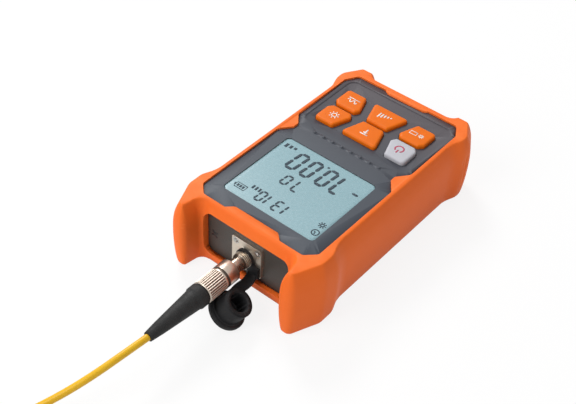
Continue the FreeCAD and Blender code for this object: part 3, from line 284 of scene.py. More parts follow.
# %% [markdown]
# ## Finishes
# Every finish starts from one shader and adds what the real surface shows: a slow drift of
# colour, a fine grain in the gloss and a shallow relief. All patterns read the object's own
# coordinates in metres, so a size is given in millimetres and stays the same on every piece.
# %% The Finish helper
class Finish:
    """One Principled material with helpers that speak in millimetres."""

    def __init__(self, name, colour, roughness, metallic=0.0, **sockets):
        self.material = bpy.data.materials.new(name)
        self.material.use_nodes = True
        self.tree = self.material.node_tree
        self.shader = self.tree.nodes["Principled BSDF"]
        self.base = colour
        self.put("Base Color", (*colour, 1))
        self.put("Roughness", roughness)
        self.put("Metallic", metallic)
        for key, value in sockets.items():
            self.put(key.replace("_", " "), value)
        self.place = self.tree.nodes.new("ShaderNodeTexCoord").outputs["Object"]

    def put(self, socket, value):
        self.shader.inputs[socket].default_value = value

    def wire(self, out, into):
        wire(self.tree, (out, into))

    def paint(self, colour):
        """Takes the colour from an output."""
        self.wire(colour, self.shader.inputs["Base Color"])

    def gloss(self, grain, low, high):
        """Lets a grain move the roughness between two values."""
        self.wire(self.span(grain, low, high, 0.3, 0.7), self.shader.inputs["Roughness"])

    def noise(self, size, detail=3.0, stretch=(1, 1, 1)):
        """Cloudy noise whose features are about `size` millimetres across."""
        turn = node(self.tree, "ShaderNodeMapping")
        turn.inputs["Scale"].default_value = stretch
        self.wire(self.place, turn.inputs["Vector"])
        made = node(self.tree, "ShaderNodeTexNoise", Scale=1 / (size * MM), Detail=detail)
        self.wire(turn.outputs[0], made.inputs["Vector"])
        return made.outputs["Fac"]

    def cells(self, size):
        """Distance to the nearest point of a random scatter `size` millimetres apart."""
        made = node(self.tree, "ShaderNodeTexVoronoi", Scale=1 / (size * MM))
        self.wire(self.place, made.inputs["Vector"])
        return made.outputs["Distance"]

    def span(self, value, low, high, start=0.0, end=1.0):
        """Stretches the part of a value between start and end over low to high."""
        made = node(self.tree, "ShaderNodeMapRange",
                    **{"From Min": start, "From Max": end, "To Min": low, "To Max": high})
        self.wire(value, made.inputs["Value"])
        return made.outputs["Result"]

    def tint(self, factor, low, high):
        """Colour between two tones, driven by a factor. The low one may be an output."""
        made = node(self.tree, "ShaderNodeMix", data_type="RGBA")
        if isinstance(low, bpy.types.NodeSocket):
            self.wire(low, made.inputs[6])
        else:
            made.inputs[6].default_value = (*low, 1)
        made.inputs[7].default_value = (*high, 1)
        self.wire(factor, made.inputs[0])
        return made.outputs[2]

    def times(self, one, other):
        made = node(self.tree, "ShaderNodeMath", operation="MULTIPLY")
        self.wire(one, made.inputs[0])
        self.wire(other, made.inputs[1])
        return made.outputs[0]

    def shades(self, spread):
        """The base colour made a little darker and a little lighter."""
        return ([c * (1 - spread) for c in self.base],
                [min(1, c * (1 + spread)) for c in self.base])

    def relief(self, height, depth, edge=0.0):
        """Bump of `depth` millimetres, over edges softened to `edge` millimetres."""
        bump = node(self.tree, "ShaderNodeBump", Strength=1.0, Distance=depth * MM)
        self.wire(height, bump.inputs["Height"])
        if edge:
            soft = node(self.tree, "ShaderNodeBevel", samples=6, Radius=edge * MM)
            self.wire(soft.outputs[0], bump.inputs["Normal"])
        self.wire(bump.outputs[0], self.shader.inputs["Normal"])

    def worn_edges(self, start, end):
        """0 on the flat, 1 on sharp outer edges."""
        made = self.tree.nodes.new("ShaderNodeNewGeometry")
        return self.span(made.outputs["Pointiness"], 0.0, 1.0, start, end)


def plain_finish(name, colour, roughness, grain, depth, spread=0.06, edge=0.0, **sockets):
    """A moulded surface: drifting tone, grain in the gloss, shallow relief."""
    made = Finish(name, colour, roughness, **sockets)
    drift = made.noise(grain * 40, 2.0)
    fine = made.noise(grain, 2.0)
    made.paint(made.tint(drift, *made.shades(spread)))
    made.gloss(fine, roughness - 0.07, roughness + 0.07)
    made.relief(fine, depth, edge)
    return made


print("finish helper ready")


# %% [markdown]
# ### Rubber
# The bumper boot is orange thermoplastic rubber: satin, very slightly mottled, paler where
# hands have rubbed its edges. The keys are silicone with a silkier surface. The dust cap and
# the plug boots are black rubber with a fine spark-eroded texture.
# %% Rubbers
def boot_rubber():
    made = Finish("boot_rubber", (0.90, 0.155, 0.016), 0.56)
    drift, fine = made.noise(22, 3.0), made.noise(0.28, 2.0)
    tone = made.tint(drift, (0.84, 0.140, 0.013), (0.93, 0.168, 0.018))
    patches = made.span(made.noise(5, 4.0), 0.1, 0.55, 0.35, 0.65)
    rubbed = made.times(made.worn_edges(0.51, 0.60), patches)
    made.paint(made.tint(rubbed, tone, (0.97, 0.235, 0.05)))
    made.gloss(fine, 0.48, 0.64)
    made.put("Specular IOR Level", 0.22)
    made.relief(fine, 0.012, 0.35)
    return made.material


def silicone(name, colour):
    made = Finish(name, colour, 0.42)
    drift, fine = made.noise(6, 2.0), made.noise(0.12, 2.0)
    made.paint(made.tint(drift, *made.shades(0.05)))
    made.gloss(fine, 0.34, 0.48)
    made.put("Specular IOR Level", 0.15)
    made.relief(fine, 0.004)
    return made.material


def speckled_rubber(name, colour, speck):
    made = Finish(name, colour, 0.62, Specular_IOR_Level=0.28)
    dots = made.span(made.cells(0.32), 1.0, 0.0, 0.0, 0.42)
    made.paint(made.tint(dots, colour, speck))
    made.gloss(made.noise(3, 2.0), 0.54, 0.70)
    made.relief(dots, 0.02)
    return made.material


BOOT = boot_rubber()
ORANGE_KEY = silicone("orange_key_silicone", (0.78, 0.150, 0.003))
PALE_KEY = silicone("pale_key_silicone", (0.50, 0.50, 0.54))
CAP_RUBBER = speckled_rubber("cap_rubber", (0.008, 0.008, 0.009), (0.014, 0.014, 0.015))
PLUG_RUBBER = speckled_rubber("plug_rubber", (0.012, 0.012, 0.012), (0.050, 0.050, 0.050))
print("rubbers", BOOT.name, ORANGE_KEY.name, PALE_KEY.name, CAP_RUBBER.name, PLUG_RUBBER.name)


# %% [markdown]
# ### Moulded plastic
# The case is dark grey plastic with a fine matt texture. Its top face is a smoother graphite
# grey, which turns a little warmer towards the tail.
# %% Plastics
def panel_plastic():
    made = Finish("panel_plastic", (0.044, 0.054, 0.070), 0.40)
    where = made.tree.nodes.new("ShaderNodeSeparateXYZ")
    made.wire(made.place, where.inputs[0])
    tone = made.tint(made.noise(30, 2.0), (0.040, 0.050, 0.065), (0.050, 0.058, 0.074))
    warm = made.span(where.outputs["Y"], 0.0, 0.8, 0.0, 0.06)
    tone = made.tint(warm, tone, (0.086, 0.068, 0.074))
    made.put("Specular IOR Level", 0.3)
    fine = made.noise(0.16, 2.0)
    made.paint(tone)
    made.gloss(fine, 0.42, 0.56)
    made.relief(fine, 0.004, 0.15)
    return made.material


PANEL = panel_plastic()
CASE = plain_finish("case_plastic", (0.030, 0.032, 0.036), 0.52, 0.22, 0.01, edge=0.2).material
PORT_PANEL = plain_finish("port_plastic", (0.046, 0.040, 0.034), 0.50, 0.25, 0.01, 0.10,
                          0.2).material
INNER = plain_finish("inner_plastic", (0.62, 0.61, 0.56), 0.45, 0.5, 0.01).material
GUIDE = plain_finish("light_guide", (0.82, 0.86, 0.88), 0.35, 0.3, 0.008).material
CONTACT_RUBBER = plain_finish("contact_rubber", (0.50, 0.50, 0.47), 0.5, 0.2, 0.01).material
CHIP = plain_finish("chip_package", (0.02, 0.02, 0.022), 0.5, 0.12, 0.01).material
SLEEVE = plain_finish("cell_sleeve", (0.03, 0.09, 0.24), 0.28, 1.2, 0.006, 0.12,
                      Coat_Weight=0.3).material
CERAMIC = plain_finish("ceramic", (0.86, 0.84, 0.78), 0.16, 0.4, 0.001, 0.02).material
print("plastics", PANEL.name, CASE.name, PORT_PANEL.name)


# %% [markdown]
# ### Metal
# The port flange is warm nickel-plated brass with a fine brushed grain. The turned nuts show
# rings round their axis, so the noise is stretched: short along the axis, long across it.
# %% Metals
def turned_metal(name, colour, roughness, stretch, streak=0.05):
    made = Finish(name, colour, roughness, metallic=1.0)
    lines = made.noise(0.25, 3.0, stretch)
    smudge = made.noise(4, 3.0)
    tone = made.tint(lines, *made.shades(0.10))
    dull = made.span(smudge, 0.0, 0.5, 0.5, 0.8)
    made.paint(made.tint(dull, tone, [c * 0.7 for c in colour]))
    made.gloss(lines, roughness - streak, roughness + streak)
    made.relief(lines, 0.006, 0.08)
    return made.material


ROUND_Y = (0.15, 1, 0.15)
FLANGE = turned_metal("plated_flange", (0.64, 0.57, 0.48), 0.42, (1, 0.12, 1))
# Painted shade: a dark metal for the floor of the grip and the root of the thread, where shade
# falls between ribs and flanks.
GROOVE_SHADE = turned_metal("grip_groove_shade", (0.14, 0.11, 0.09), 0.5, ROUND_Y)
RIB = turned_metal("grip_rib", (0.52, 0.45, 0.385), 0.44, ROUND_Y)
NUT = turned_metal("plated_nut", (0.52, 0.445, 0.375), 0.33, ROUND_Y)
BRIGHT = turned_metal("bright_ring", (0.46, 0.38, 0.31), 0.28, ROUND_Y)
STEEL = turned_metal("screw_steel", (0.50, 0.49, 0.46), 0.32, (1, 1, 1))
SPRING = turned_metal("contact_spring", (0.62, 0.60, 0.54), 0.30, (1, 0.2, 1))
print("metals", FLANGE.name, NUT.name, BRIGHT.name, STEEL.name)


# %% [markdown]
# ### Circuit board, display and window
# The board carries green solder mask with copper tracks showing faintly through it. The
# display glass is a pale blue-green cell with a fine grid, and a clear hard window protects
# it. The window is nearly invisible and softly glossy, and part of the gloss sits on the cell.
# %% Board, display and window
def board_mask():
    made = Finish("solder_mask", (0.012, 0.09, 0.035), 0.35)
    tracks = node(made.tree, "ShaderNodeTexBrick", Scale=1 / (6 * MM))
    made.wire(made.place, tracks.inputs["Vector"])
    tracks.inputs["Mortar Size"].default_value = 0.04
    shown = made.span(tracks.outputs["Fac"], 0.0, 1.0)
    tone = made.tint(made.noise(8), (0.010, 0.075, 0.03), (0.014, 0.10, 0.04))
    made.paint(made.tint(shown, tone, (0.05, 0.16, 0.05)))
    made.gloss(made.noise(2), 0.28, 0.42)
    made.relief(shown, 0.02)
    return made.material


def display_cell():
    made = Finish("display_cell", (0.25, 0.41, 0.456), 0.27)
    grid = node(made.tree, "ShaderNodeTexChecker", Scale=1 / (0.35 * MM))
    made.wire(made.place, grid.inputs["Vector"])
    tone = made.tint(made.noise(14, 2.0), (0.240, 0.395, 0.440), (0.260, 0.425, 0.472))
    faint = made.span(grid.outputs["Fac"], 0.0, 0.10)
    made.paint(made.tint(faint, tone, (0.22, 0.36, 0.40)))
    made.gloss(made.noise(1.5), 0.24, 0.30)
    made.put("Specular IOR Level", 0.32)
    made.relief(made.noise(6, 2.0), 0.0004)
    return made.material


def clear_window():
    made = Finish("clear_window", (0.80, 0.88, 0.90), 0.30)
    made.put("Alpha", 0.03)
    made.gloss(made.noise(3), 0.28, 0.36)
    return made.material


BOARD, CELL, WINDOW = board_mask(), display_cell(), clear_window()
INK = plain_finish("display_segment", (0.012, 0.030, 0.050), 0.5, 0.3, 0.001,
                   Specular_IOR_Level=0.2).material
print("display", CELL.name, WINDOW.name, INK.name)


# %% [markdown]
# ### Cord jacket and print
# The jacket is extruded yellow plastic: satin, with a very fine grain and a slightly deeper
# tone in places. The legends are pad-printed ink, pale on the orange keys, red on the pale one.
# %% Jacket and inks
def jacket():
    made = Finish("cord_jacket", (0.76, 0.44, 0.014), 0.38, Specular_IOR_Level=0.3)
    drift, fine = made.noise(9, 2.0), made.noise(0.7, 2.0)
    made.paint(made.tint(drift, (0.72, 0.40, 0.010), (0.80, 0.48, 0.018)))
    made.gloss(fine, 0.30, 0.46)
    made.relief(fine, 0.003)
    return made.material


JACKET = jacket()
PALE_INK = plain_finish("pale_print", (0.80, 0.78, 0.74), 0.5, 0.15, 0.002).material
RED_INK = plain_finish("red_print", (0.42, 0.05, 0.10), 0.5, 0.15, 0.002).material
DARK_INK = plain_finish("dark_print", (0.008, 0.008, 0.009), 0.5, 0.15, 0.002).material
TIE = plain_finish("tie_strip", (0.025, 0.025, 0.027), 0.6, 0.3, 0.02).material
print("jacket", JACKET.name, "prints", PALE_INK.name, RED_INK.name)


# %% [markdown]
# ## Dressing the solid pieces
# A solid node comes as loose triangles. A copy of its mesh is merged into one skin, turned
# smooth with sharp edges kept, given its finish and shown in place of the node. Pieces inside
# the closed case keep their node and only get a finish.
# %% Skins
def merged(name):
    """A copy of a node's mesh as one connected bmesh."""
    bm = bmesh.new()
    bm.from_mesh(NODES[name].data)
    bmesh.ops.remove_doubles(bm, verts=bm.verts, dist=2e-6)
    return bm


def as_piece(bm, name, finish, body, smooth=35.0):
    """Turns a bmesh into an object that rides on a body."""
    mesh = bpy.data.meshes.new(name)
    bm.to_mesh(mesh)
    bm.free()
    mesh.materials.append(finish)
    for polygon in mesh.polygons:
        polygon.use_smooth = True
    mesh.set_sharp_from_angle(angle=math.radians(smooth))
    made = placed(name, mesh)
    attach(made, body)
    return made


def bridge(bm, low, high):
    """Closes two rings of corners with a band of faces."""
    for i in range(len(low)):
        j = (i + 1) % len(low)
        bm.faces.new((low[i], low[j], high[j], high[i]))


def as_skin(bm, piece, finish, name, stands=True):
    """A piece that rides where a node rides, stands for it and shows its flat faces flat."""
    made = as_piece(bm, piece, finish, BODY_OF[name])
    weigh = made.modifiers.new("even", "WEIGHTED_NORMAL")
    weigh.keep_sharp, weigh.weight = True, 90
    if stands:
        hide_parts(name)
    return made


AXIS_Z = 17.2 * MM
SKIN_NEAR = 0.12 * MM


def squeeze(bm, front, back, wide, narrow, spare_below=-1.0):
    """Draws the skin that lies `wide` off the port's axis in to `narrow`, in millimetres."""
    for spot in bm.verts:
        off = Vector((spot.co.x, spot.co.z - AXIS_Z))
        spared = spot.co.z < spare_below * MM and spot.co.x > 1.0 * MM
        near = front * MM <= spot.co.y <= back * MM and abs(off.length - wide * MM) < SKIN_NEAR
        if near and not spared:
            off *= narrow * MM / off.length
            spot.co.x, spot.co.z = off.x, AXIS_Z + off.y


# material slot, finish, the nodes that wear it
OUTER = [
    ("boot_rubber", BOOT, ["protective_boot"]),
    ("panel_plastic", PANEL, ["front_shell"]),
    ("case_plastic", CASE, ["rear_shell", "battery_door"]),
    ("inner_plastic", CASE, ["lcd_frame"]),
    ("port_plastic", PORT_PANEL, ["end_panel"]),
    ("lcd", CELL, ["lcd_glass"]),
    ("screw_steel", STEEL, ["flange_screws", "case_screws"]),
    ("ceramic", CERAMIC, ["adapter_sleeve", "plug_ferrule", "far_plug_ferrule"]),
    ("nickel", BRIGHT, ["plug_body", "far_plug_body"]),
    ("screw_steel", BRIGHT, ["nut_ring", "far_nut_ring"]),
    ("black_rubber", PLUG_RUBBER, ["plug_boot", "far_plug_boot"]),
    ("cap_rubber", CAP_RUBBER, ["dust_cap"]),
]
SKINS = {name: as_skin(merged(name), name + "_skin", finish, name)
         for slot, finish, names in OUTER for name in names}
print("skins", len(SKINS))


# %% [markdown]
# ### Port barrel and cap strap
# The root of the thread lies deeper than the solid's plain barrel, and the rubber ring of the
# strap sits close round it. Both skins are drawn in towards the axis before they are used.
# %% Barrel and strap
THREAD_ROOT = 3.68
THREAD_END = -55.9 * MM


def add_squeezed(name, finish, sizes, root=None):
    """A drawn-in skin. `root` is a dark finish put on the deep part of the thread as painted shade.
    """
    bm = merged(name)
    squeeze(bm, *sizes)
    for face in bm.faces:
        spot = face.calc_center_median()
        deep = math.hypot(spot.x, spot.z - AXIS_Z) < (THREAD_ROOT + 0.1) * MM
        # deep faces under the thread take the dark second finish: painted shade in the thread's
        # valleys
        face.material_index = int(root is not None and deep and spot.y < THREAD_END)
    made = as_skin(bm, name + "_skin", finish, name)
    if root is not None:
        made.data.materials.append(root)


# from y, to y, radius of the solid, radius drawn, height below which the strap is spared
# The barrel under the thread takes the dark groove metal: painted shade.
add_squeezed("adapter_body", FLANGE, (-60.0, -55.6, 4.0, THREAD_ROOT), GROOVE_SHADE)
add_squeezed("cap_strap", CAP_RUBBER, (-57.5, -55.0, 5.9, 4.4, 15.4))
print("barrel root at", THREAD_ROOT, "mm")


# %% [markdown]
# ### Display face and window
# Seen from outside, a display seems to lie just under its window, because the two are
# optically joined. So the window is a thin pane, and a block of display colour fills the
# opening right up to it.
# %% Display face and pane
FACE_Z = 33.0 * MM
PANE_UNDER = 33.1 * MM


def add_display_part(piece, finish, low, high, stands):
    """A copy of the window, cut to the heights from low to high."""
    bm = merged("display_window")
    for spot in bm.verts:
        spot.co.z = min(max(spot.co.z, low), high)
    bmesh.ops.remove_doubles(bm, verts=bm.verts, dist=1e-6)
    as_skin(bm, piece, finish, "display_window", stands)


BELOW, ABOVE = -1.0, 1.0
add_display_part("window_pane", WINDOW, PANE_UNDER, ABOVE, True)
add_display_part("display_face", CELL, BELOW, FACE_Z, False)
print("display face at", round(FACE_Z / MM, 2), "mm")


# %% Finishes of the inner pieces
INNER_FINISH = [
    (GUIDE, ["backlight_plate"]),
    (CONTACT_RUBBER, ["zebra_strip", *(n for n in NODES if n.endswith("_dome"))]),
    (BOARD, ["main_board", "detector_board"]),
    (CHIP, ["main_chip", "board_parts"]),
    (STEEL, ["board_screws"]),
    (INNER, ["detector_holder"]),
    (BRIGHT, ["detector_can"]),
    (SPRING, ["spring_contacts", "plate_contacts"]),
    (SLEEVE, ["battery_1", "battery_2", "battery_3"]),
    (JACKET, ["cord_tube", "cord_tail", "cord_coil"]),
]
for finish, names in INNER_FINISH:
    for name in names:
        for place in NODES[name].material_slots:
            place.material = finish
print("inner pieces", sum(len(names) for finish, names in INNER_FINISH))


# %% [markdown]
# ## Keys
# Each key is a soft silicone pillow. Its stem and hidden flange come from the solid. Above
# the panel the outline is read off the solid by casting rays at its side, and a new top is
# grown from it: rings that move inwards and upwards on a quarter of an ellipse, then a
# slightly domed middle.
# %% Keys
KEY_CUT = 33.3
KEY_SHOULDER = 33.75
KEY_TOP = 34.84
KEY_ROUND = 1.15
KEY_CROWN = 0.06
KEY_RAYS = 168
KEY_STEPS = 8
KEY_TRIM = 0.2       # the solid stays up to this far below the cut
KEY_LAP = 0.25       # the new wall starts this far below it
RAY_FROM = 0.05


def outline_of(name, height):
    """Outer outline of a node at a height, found by rays from outside, in millimetres."""
    bm = merged(name)
    tree = BVHTree.FromBMesh(bm)
    bm.free()
    low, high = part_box(name)
    centre = (low + high) / 2
    points = []
    for i in range(KEY_RAYS):
        angle = 2 * math.pi * i / KEY_RAYS
        way = Vector((math.cos(angle), math.sin(angle), 0))
        start = Vector((centre.x, centre.y, height * MM)) + way * RAY_FROM
        hit = tree.ray_cast(start, -way)[0]
        points.append(Vector((hit.x, hit.y)) / MM)
    return points


def inwards(points):
    """Unit vectors that point into an outline, one per point."""
    count = len(points)
    made = []
    for i in range(count):
        along = (points[(i + 2) % count] - points[i - 2]).normalized()
        made.append(Vector((-along.y, along.x)))
    return made


def key_rings(points):
    """Rings of a pillow, each a list of (x, y, z) in millimetres."""
    into = inwards(points)
    centre = sum(points, Vector((0, 0))) / len(points)
    rings = [[(p.x, p.y, KEY_CUT - KEY_LAP) for p in points]]
    for step in range(KEY_STEPS + 1):
        angle = math.pi / 2 * step / KEY_STEPS
        inset = KEY_ROUND * (1 - math.cos(angle))
        z = KEY_SHOULDER + (KEY_TOP - KEY_CROWN - KEY_SHOULDER) * math.sin(angle)
        rings.append([(p.x + n.x * inset, p.y + n.y * inset, z) for p, n in zip(points, into)])
    rim = [Vector(q[:2]) for q in rings[-1]]
    for scale in (0.86, 0.66, 0.44, 0.22):
        z = KEY_TOP - KEY_CROWN + KEY_CROWN * (1 - scale * scale)
        rings.append([(*(centre + (p - centre) * scale), z) for p in rim])
    return rings, centre


def add_key(name, finish):
    rings, centre = key_rings(outline_of(name, KEY_CUT))
    bm = merged(name)
    everything = bm.verts[:] + bm.edges[:] + bm.faces[:]
    bmesh.ops.bisect_plane(bm, geom=everything, plane_co=(0, 0, (KEY_CUT - KEY_TRIM) * MM),
                           plane_no=(0, 0, 1), clear_outer=True)
    rows = [[bm.verts.new([c * MM for c in p]) for p in ring] for ring in rings]
    for low, high in zip(rows, rows[1:]):
        bridge(bm, low, high)
    top = bm.verts.new((centre.x * MM, centre.y * MM, KEY_TOP * MM))
    for i, corner in enumerate(rows[-1]):
        bm.faces.new((rows[-1][i - 1], corner, top))
    made = as_piece(bm, name + "_pillow", finish, BODY_OF[name], 45.0)
    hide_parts(name)
    return made


KEYS = {name: add_key(name, PALE_KEY if name == "power_key" else ORANGE_KEY)
        for name in NODES if name.endswith("_key")}
print("keys", sorted(KEYS))


# %% [markdown]
# ### Legends on the keys
# The keys carry small printed signs of a general kind. A sign is a set of strokes, and a stroke
# is a flat ribbon along a few points. It is laid out as it would be read, then every corner is
# dropped onto the key by a ray, so the print follows the dome of the key.
# %% Strokes
def arc(radius, start, end, centre=(0, 0), steps=20):
    """Points on an arc, angles in degrees."""
    turns = [math.radians(start + (end - start) * i / steps) for i in range(steps + 1)]
    return [(centre[0] + radius * math.cos(t), centre[1] + radius * math.sin(t)) for t in turns]


def ribbon(points, width):
    """Two rows of corners, one on each side of a line of points."""
    points = [Vector(p) for p in points]
    rows = []
    for i, here in enumerate(points):
        before, after = points[max(i - 1, 0)], points[min(i + 1, len(points) - 1)]
        along = (after - before).normalized()
        side = Vector((-along.y, along.x)) * width / 2
        rows.append((here + side, here - side))
    return rows


def rays(inner, outer, count, centre=(0, 0)):
    """Short strokes round a centre, like the rays of a sun."""
    made = []
    for i in range(count):
        angle = 2 * math.pi * i / count
        way = Vector((math.cos(angle), math.sin(angle)))
        made.append([Vector(centre) + way * inner, Vector(centre) + way * outer])
    return made


RISING_BARS = [[(-2.2 + 1.1 * i, -1.3), (-2.2 + 1.1 * i, -0.7 + 0.55 * i)] for i in range(5)]
WAVE = [[(-2.2 + 0.2 * i, 0.9 * math.sin(i * 2 * math.pi / 11)) for i in range(23)],
        [(-2.6, -1.6), (2.6, -1.6)]]
LAMP = [arc(0.95, 0, 360), *rays(1.35, 1.95, 8)]
LAMP_AND_SCREEN = [arc(0.8, 0, 360, (-2.6, 0)), *rays(1.15, 1.6, 8, (-2.6, 0)),
                   [(0.2, -1.2), (4.4, -1.2), (4.4, 1.2), (0.2, 1.2), (0.2, -1.2)]]
ARROW_TO_LINE = [[(-1.7, 1.5), (1.7, 1.5)], [(0, -1.6), (0, 0.9)],
                 [(-0.8, 0.1), (0, 0.95), (0.8, 0.1)]]
POWER_SIGN = [arc(1.75, 125, 415, steps=30), [(0, 0.7), (0, 2.6)]]
# sign, scale, width of the stroke
LEGENDS = {
    "wavelength_key": (WAVE, 1.15, 0.50), "db_key": (RISING_BARS, 1.25, 0.72),
    "backlight_key": (LAMP_AND_SCREEN, 0.80, 0.44), "lamp_key": (LAMP, 1.25, 0.50),
    "ref_key": (ARROW_TO_LINE, 1.2, 0.60), "power_key": (POWER_SIGN, 1.12, 0.72),
}
print("signs", len(LEGENDS))


# %% Printing the legends
def add_strokes(bm, strokes, width, place):
    """Adds ribbons to a bmesh. `place` turns a flat spot into a point of the piece."""
    for stroke in strokes:
        rows = [[bm.verts.new(place(spot)) for spot in row] for row in ribbon(stroke, width)]
        for one, two in zip(rows, rows[1:]):
            bm.faces.new((one[0], one[1], two[1], two[0]))


def as_print(bm, name, ink, body, depth, facing):
    """A closed piece from flat faces: they look along `facing`, with a depth behind them."""
    for face in bm.faces:
        face.normal_update()
        if face.normal.dot(facing) < 0:
            face.normal_flip()
    made = as_piece(bm, name, ink, body)
    wall = made.modifiers.new("depth", "SOLIDIFY")
    wall.thickness, wall.offset = depth * MM, -1.0
    return made


UP = Vector((0, 0, 1))
LEGEND_LIFT = UP * 0.025 * MM


def add_legend(name):
    sign, scale, width = LEGENDS[name]
    low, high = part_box(name)
    strokes = [[(x * scale, y * scale) for x, y in stroke] for stroke in sign]
    xs, ys = ([p[i] for stroke in strokes for p in stroke] for i in (0, 1))
    x = (low.x + high.x) / 2 / MM + (min(xs) + max(xs)) / 2
    y = (low.y + high.y) / 2 / MM + (min(ys) + max(ys)) / 2
    bm = bmesh.new()
    bm.from_mesh(KEYS[name].data)
    surface = BVHTree.FromBMesh(bm)
    bm.clear()

    def onto_key(spot):
        """The point of the key under a spot that is read with the port end up."""
        start = Vector(((x - spot.x) * MM, (y - spot.y) * MM, RAY_FROM))
        return surface.ray_cast(start, -UP)[0] + LEGEND_LIFT

    add_strokes(bm, strokes, width, onto_key)
    ink = RED_INK if name == "power_key" else PALE_INK
    return as_print(bm, name + "_legend", ink, BODY_OF[name], 0.06, UP)


print("legends", [add_legend(name).name for name in LEGENDS])


# %% [markdown]
# ### Two ticks on the port panel
# Two short dark ticks are printed beside the port, as ribbons just in front of the panel.
# %% Ticks
def add_ticks():
    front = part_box("end_panel")[0].y - 0.02 * MM
    bm = bmesh.new()
    ticks = [arc(1.4, 190, 330, (-18.6, 18.4), 8), arc(1.4, 10, 150, (-19.3, 14.4), 8)]
    add_strokes(bm, ticks, 1.0, lambda spot: (spot.x * MM, front, spot.y * MM))
    return as_print(bm, "port_ticks", DARK_INK, "meter", 0.04, Vector((0, -1, 0)))


print("ticks", add_ticks().name)


# %% [markdown]
# ## Figures on the display
# The display shows a plain reading in seven-segment figures, which lean a little. They lie
# just over the cell, under the clear window. A segment is a long hexagon.
# %% Segments
SEGMENTS_OF = {"0": "abcdef", "1": "bc", "3": "abgcd", "7": "abc"}
SLANT = 0.085
DISPLAY_AT = Vector((0.0, -22.0))


def hexagon(a, b, width):
    """A bar from a to b with pointed ends."""
    a, b = Vector(a), Vector(b)
    along = (b - a).normalized() * width / 2
    side = Vector((-along.y, along.x))
    return [a, a + along + side, b - along + side, b, b - along - side, a + along - side]


def figure(digit, low, high, width, gap=0.12):
    """Bars of one figure in the box from low to high."""
    x0, x1 = low[0] + width / 2, high[0] - width / 2
    y0, y1 = low[1] + width / 2, high[1] - width / 2
    middle = (y0 + y1) / 2
    places = {"a": ((x0, y1), (x1, y1)), "d": ((x0, y0), (x1, y0)),
              "g": ((x0, middle), (x1, middle)),
              "f": ((x0, middle), (x0, y1)), "b": ((x1, middle), (x1, y1)),
              "e": ((x0, y0), (x0, middle)), "c": ((x1, y0), (x1, middle))}
    bars = []
    for key in SEGMENTS_OF[digit]:
        a, b = (Vector(p) for p in places[key])
        pull = (b - a).normalized() * gap
        bars.append(hexagon(a + pull, b - pull, width))
    return bars


def block(low, high):
    return [Vector(low), Vector((high[0], low[1])), Vector(high), Vector((low[0], high[1]))]


def strokes_to_blocks(strokes, width):
    made = []
    for stroke in strokes:
        rows = ribbon(stroke, width)
        made += [[one[0], one[1], two[1], two[0]] for one, two in zip(rows, rows[1:])]
    return made


# %% Reading
# figures with their left and right edges, then bottom, top and bar width of the line
LINES = [
    ((("7", -14.0, -8.6), ("0", -6.6, -1.0), ("0", 1.6, 7.1), ("0", 9.1, 14.8)), -18.0, -5.5, 1.5),
    ((("7", -1.4, 2.6),), -3.4, 4.4, 1.0),
    ((("0", 5.0, 8.9),), -3.0, 3.8, 1.0),
    ((("1", -8.2, -4.8), ("3", -3.4, 0.2), ("1", 1.0, 4.4), ("0", 5.4, 9.0)), 11.5, 18.5, 0.95),
]


def reading():
    """The large dark shapes, read with the port end up, about the display's middle."""
    point, minus = block((-0.45, -18.1), (0.6, -17.1)), hexagon((-20.5, -11.7), (-17.3, -11.7), 1.2)
    shapes = [point, minus]
    for figures, bottom, top, width in LINES:
        for digit, left, right in figures:
            shapes += figure(digit, (left, bottom), (right, top), width)
    return shapes


def small_marks():
    """Unit bars, battery, sun and clock along the edges of the display."""
    shapes = [block((16.2 + 2.2 * i, -18.4), (17.6 + 2.2 * i, -17.0 + 0.6 * i)) for i in range(3)]
    shapes += [block((10.6 + 1.7 * i, 11.6), (11.6 + 1.7 * i, 13.8)) for i in range(3)]
    battery = [(16, 14.6), (21.3, 14.6), (21.3, 17.5), (16, 17.5), (16, 14.6)]
    shapes += strokes_to_blocks([battery], 0.4)
    shapes += [block((16.8 + 1.4 * i, 15.3), (17.8 + 1.4 * i, 16.8)) for i in range(3)]
    shapes.append(block((21.4, 15.4), (22.0, 16.7)))
    sun = [arc(0.75, 0, 360, (-21, 11.5)), *rays(1.1, 1.8, 8, (-21, 11.5))]
    clock = [arc(1.6, 0, 360, (-21.3, 16.5)), [(-21.3, 17.6), (-21.3, 16.5)],
             [(-21.3, 16.5), (-20.5, 16.1)]]
    return shapes + strokes_to_blocks(sun + clock, 0.5)


INK_HEIGHT = FACE_Z + 0.04 * MM


def add_reading(name, shapes, slant):
    bm = bmesh.new()
    for shape in shapes:
        bm.faces.new([bm.verts.new(((DISPLAY_AT.x - x - slant * y) * MM,
                                    (DISPLAY_AT.y - y) * MM, INK_HEIGHT)) for x, y in shape])
    return as_print(bm, name, INK, "meter", 0.04, UP)


print("reading", len(add_reading("display_figures", reading(), SLANT).data.polygons), "bars")
print("marks", len(add_reading("display_marks", small_marks(), 0.0).data.polygons), "blocks")


# %% [markdown]
# ## What repeats: the port thread and the grip of the nuts
# The barrel of the port has an M8 thread with a fine pitch, and the coupling nuts have a
# straight-ribbed grip. Both follow a rule, so Geometry Nodes make them: a spiral swept with a
# small triangle for the thread, and one rib set round a circle for the grip. The sizes are
# named inputs of the trees.
# %% Helpers for node trees
def new_tree(name, **inputs):
    """A geometry tree with named sizes as its inputs."""
    tree = bpy.data.node_groups.new(name, "GeometryNodeTree")
    tree.interface.new_socket("Geometry", in_out="OUTPUT", socket_type="NodeSocketGeometry")
    for key, kind in inputs.items():
        tree.interface.new_socket(key, in_out="INPUT", socket_type="NodeSocket" + kind)
    return tree, tree.nodes.new("NodeGroupInput").outputs, tree.nodes.new("NodeGroupOutput")


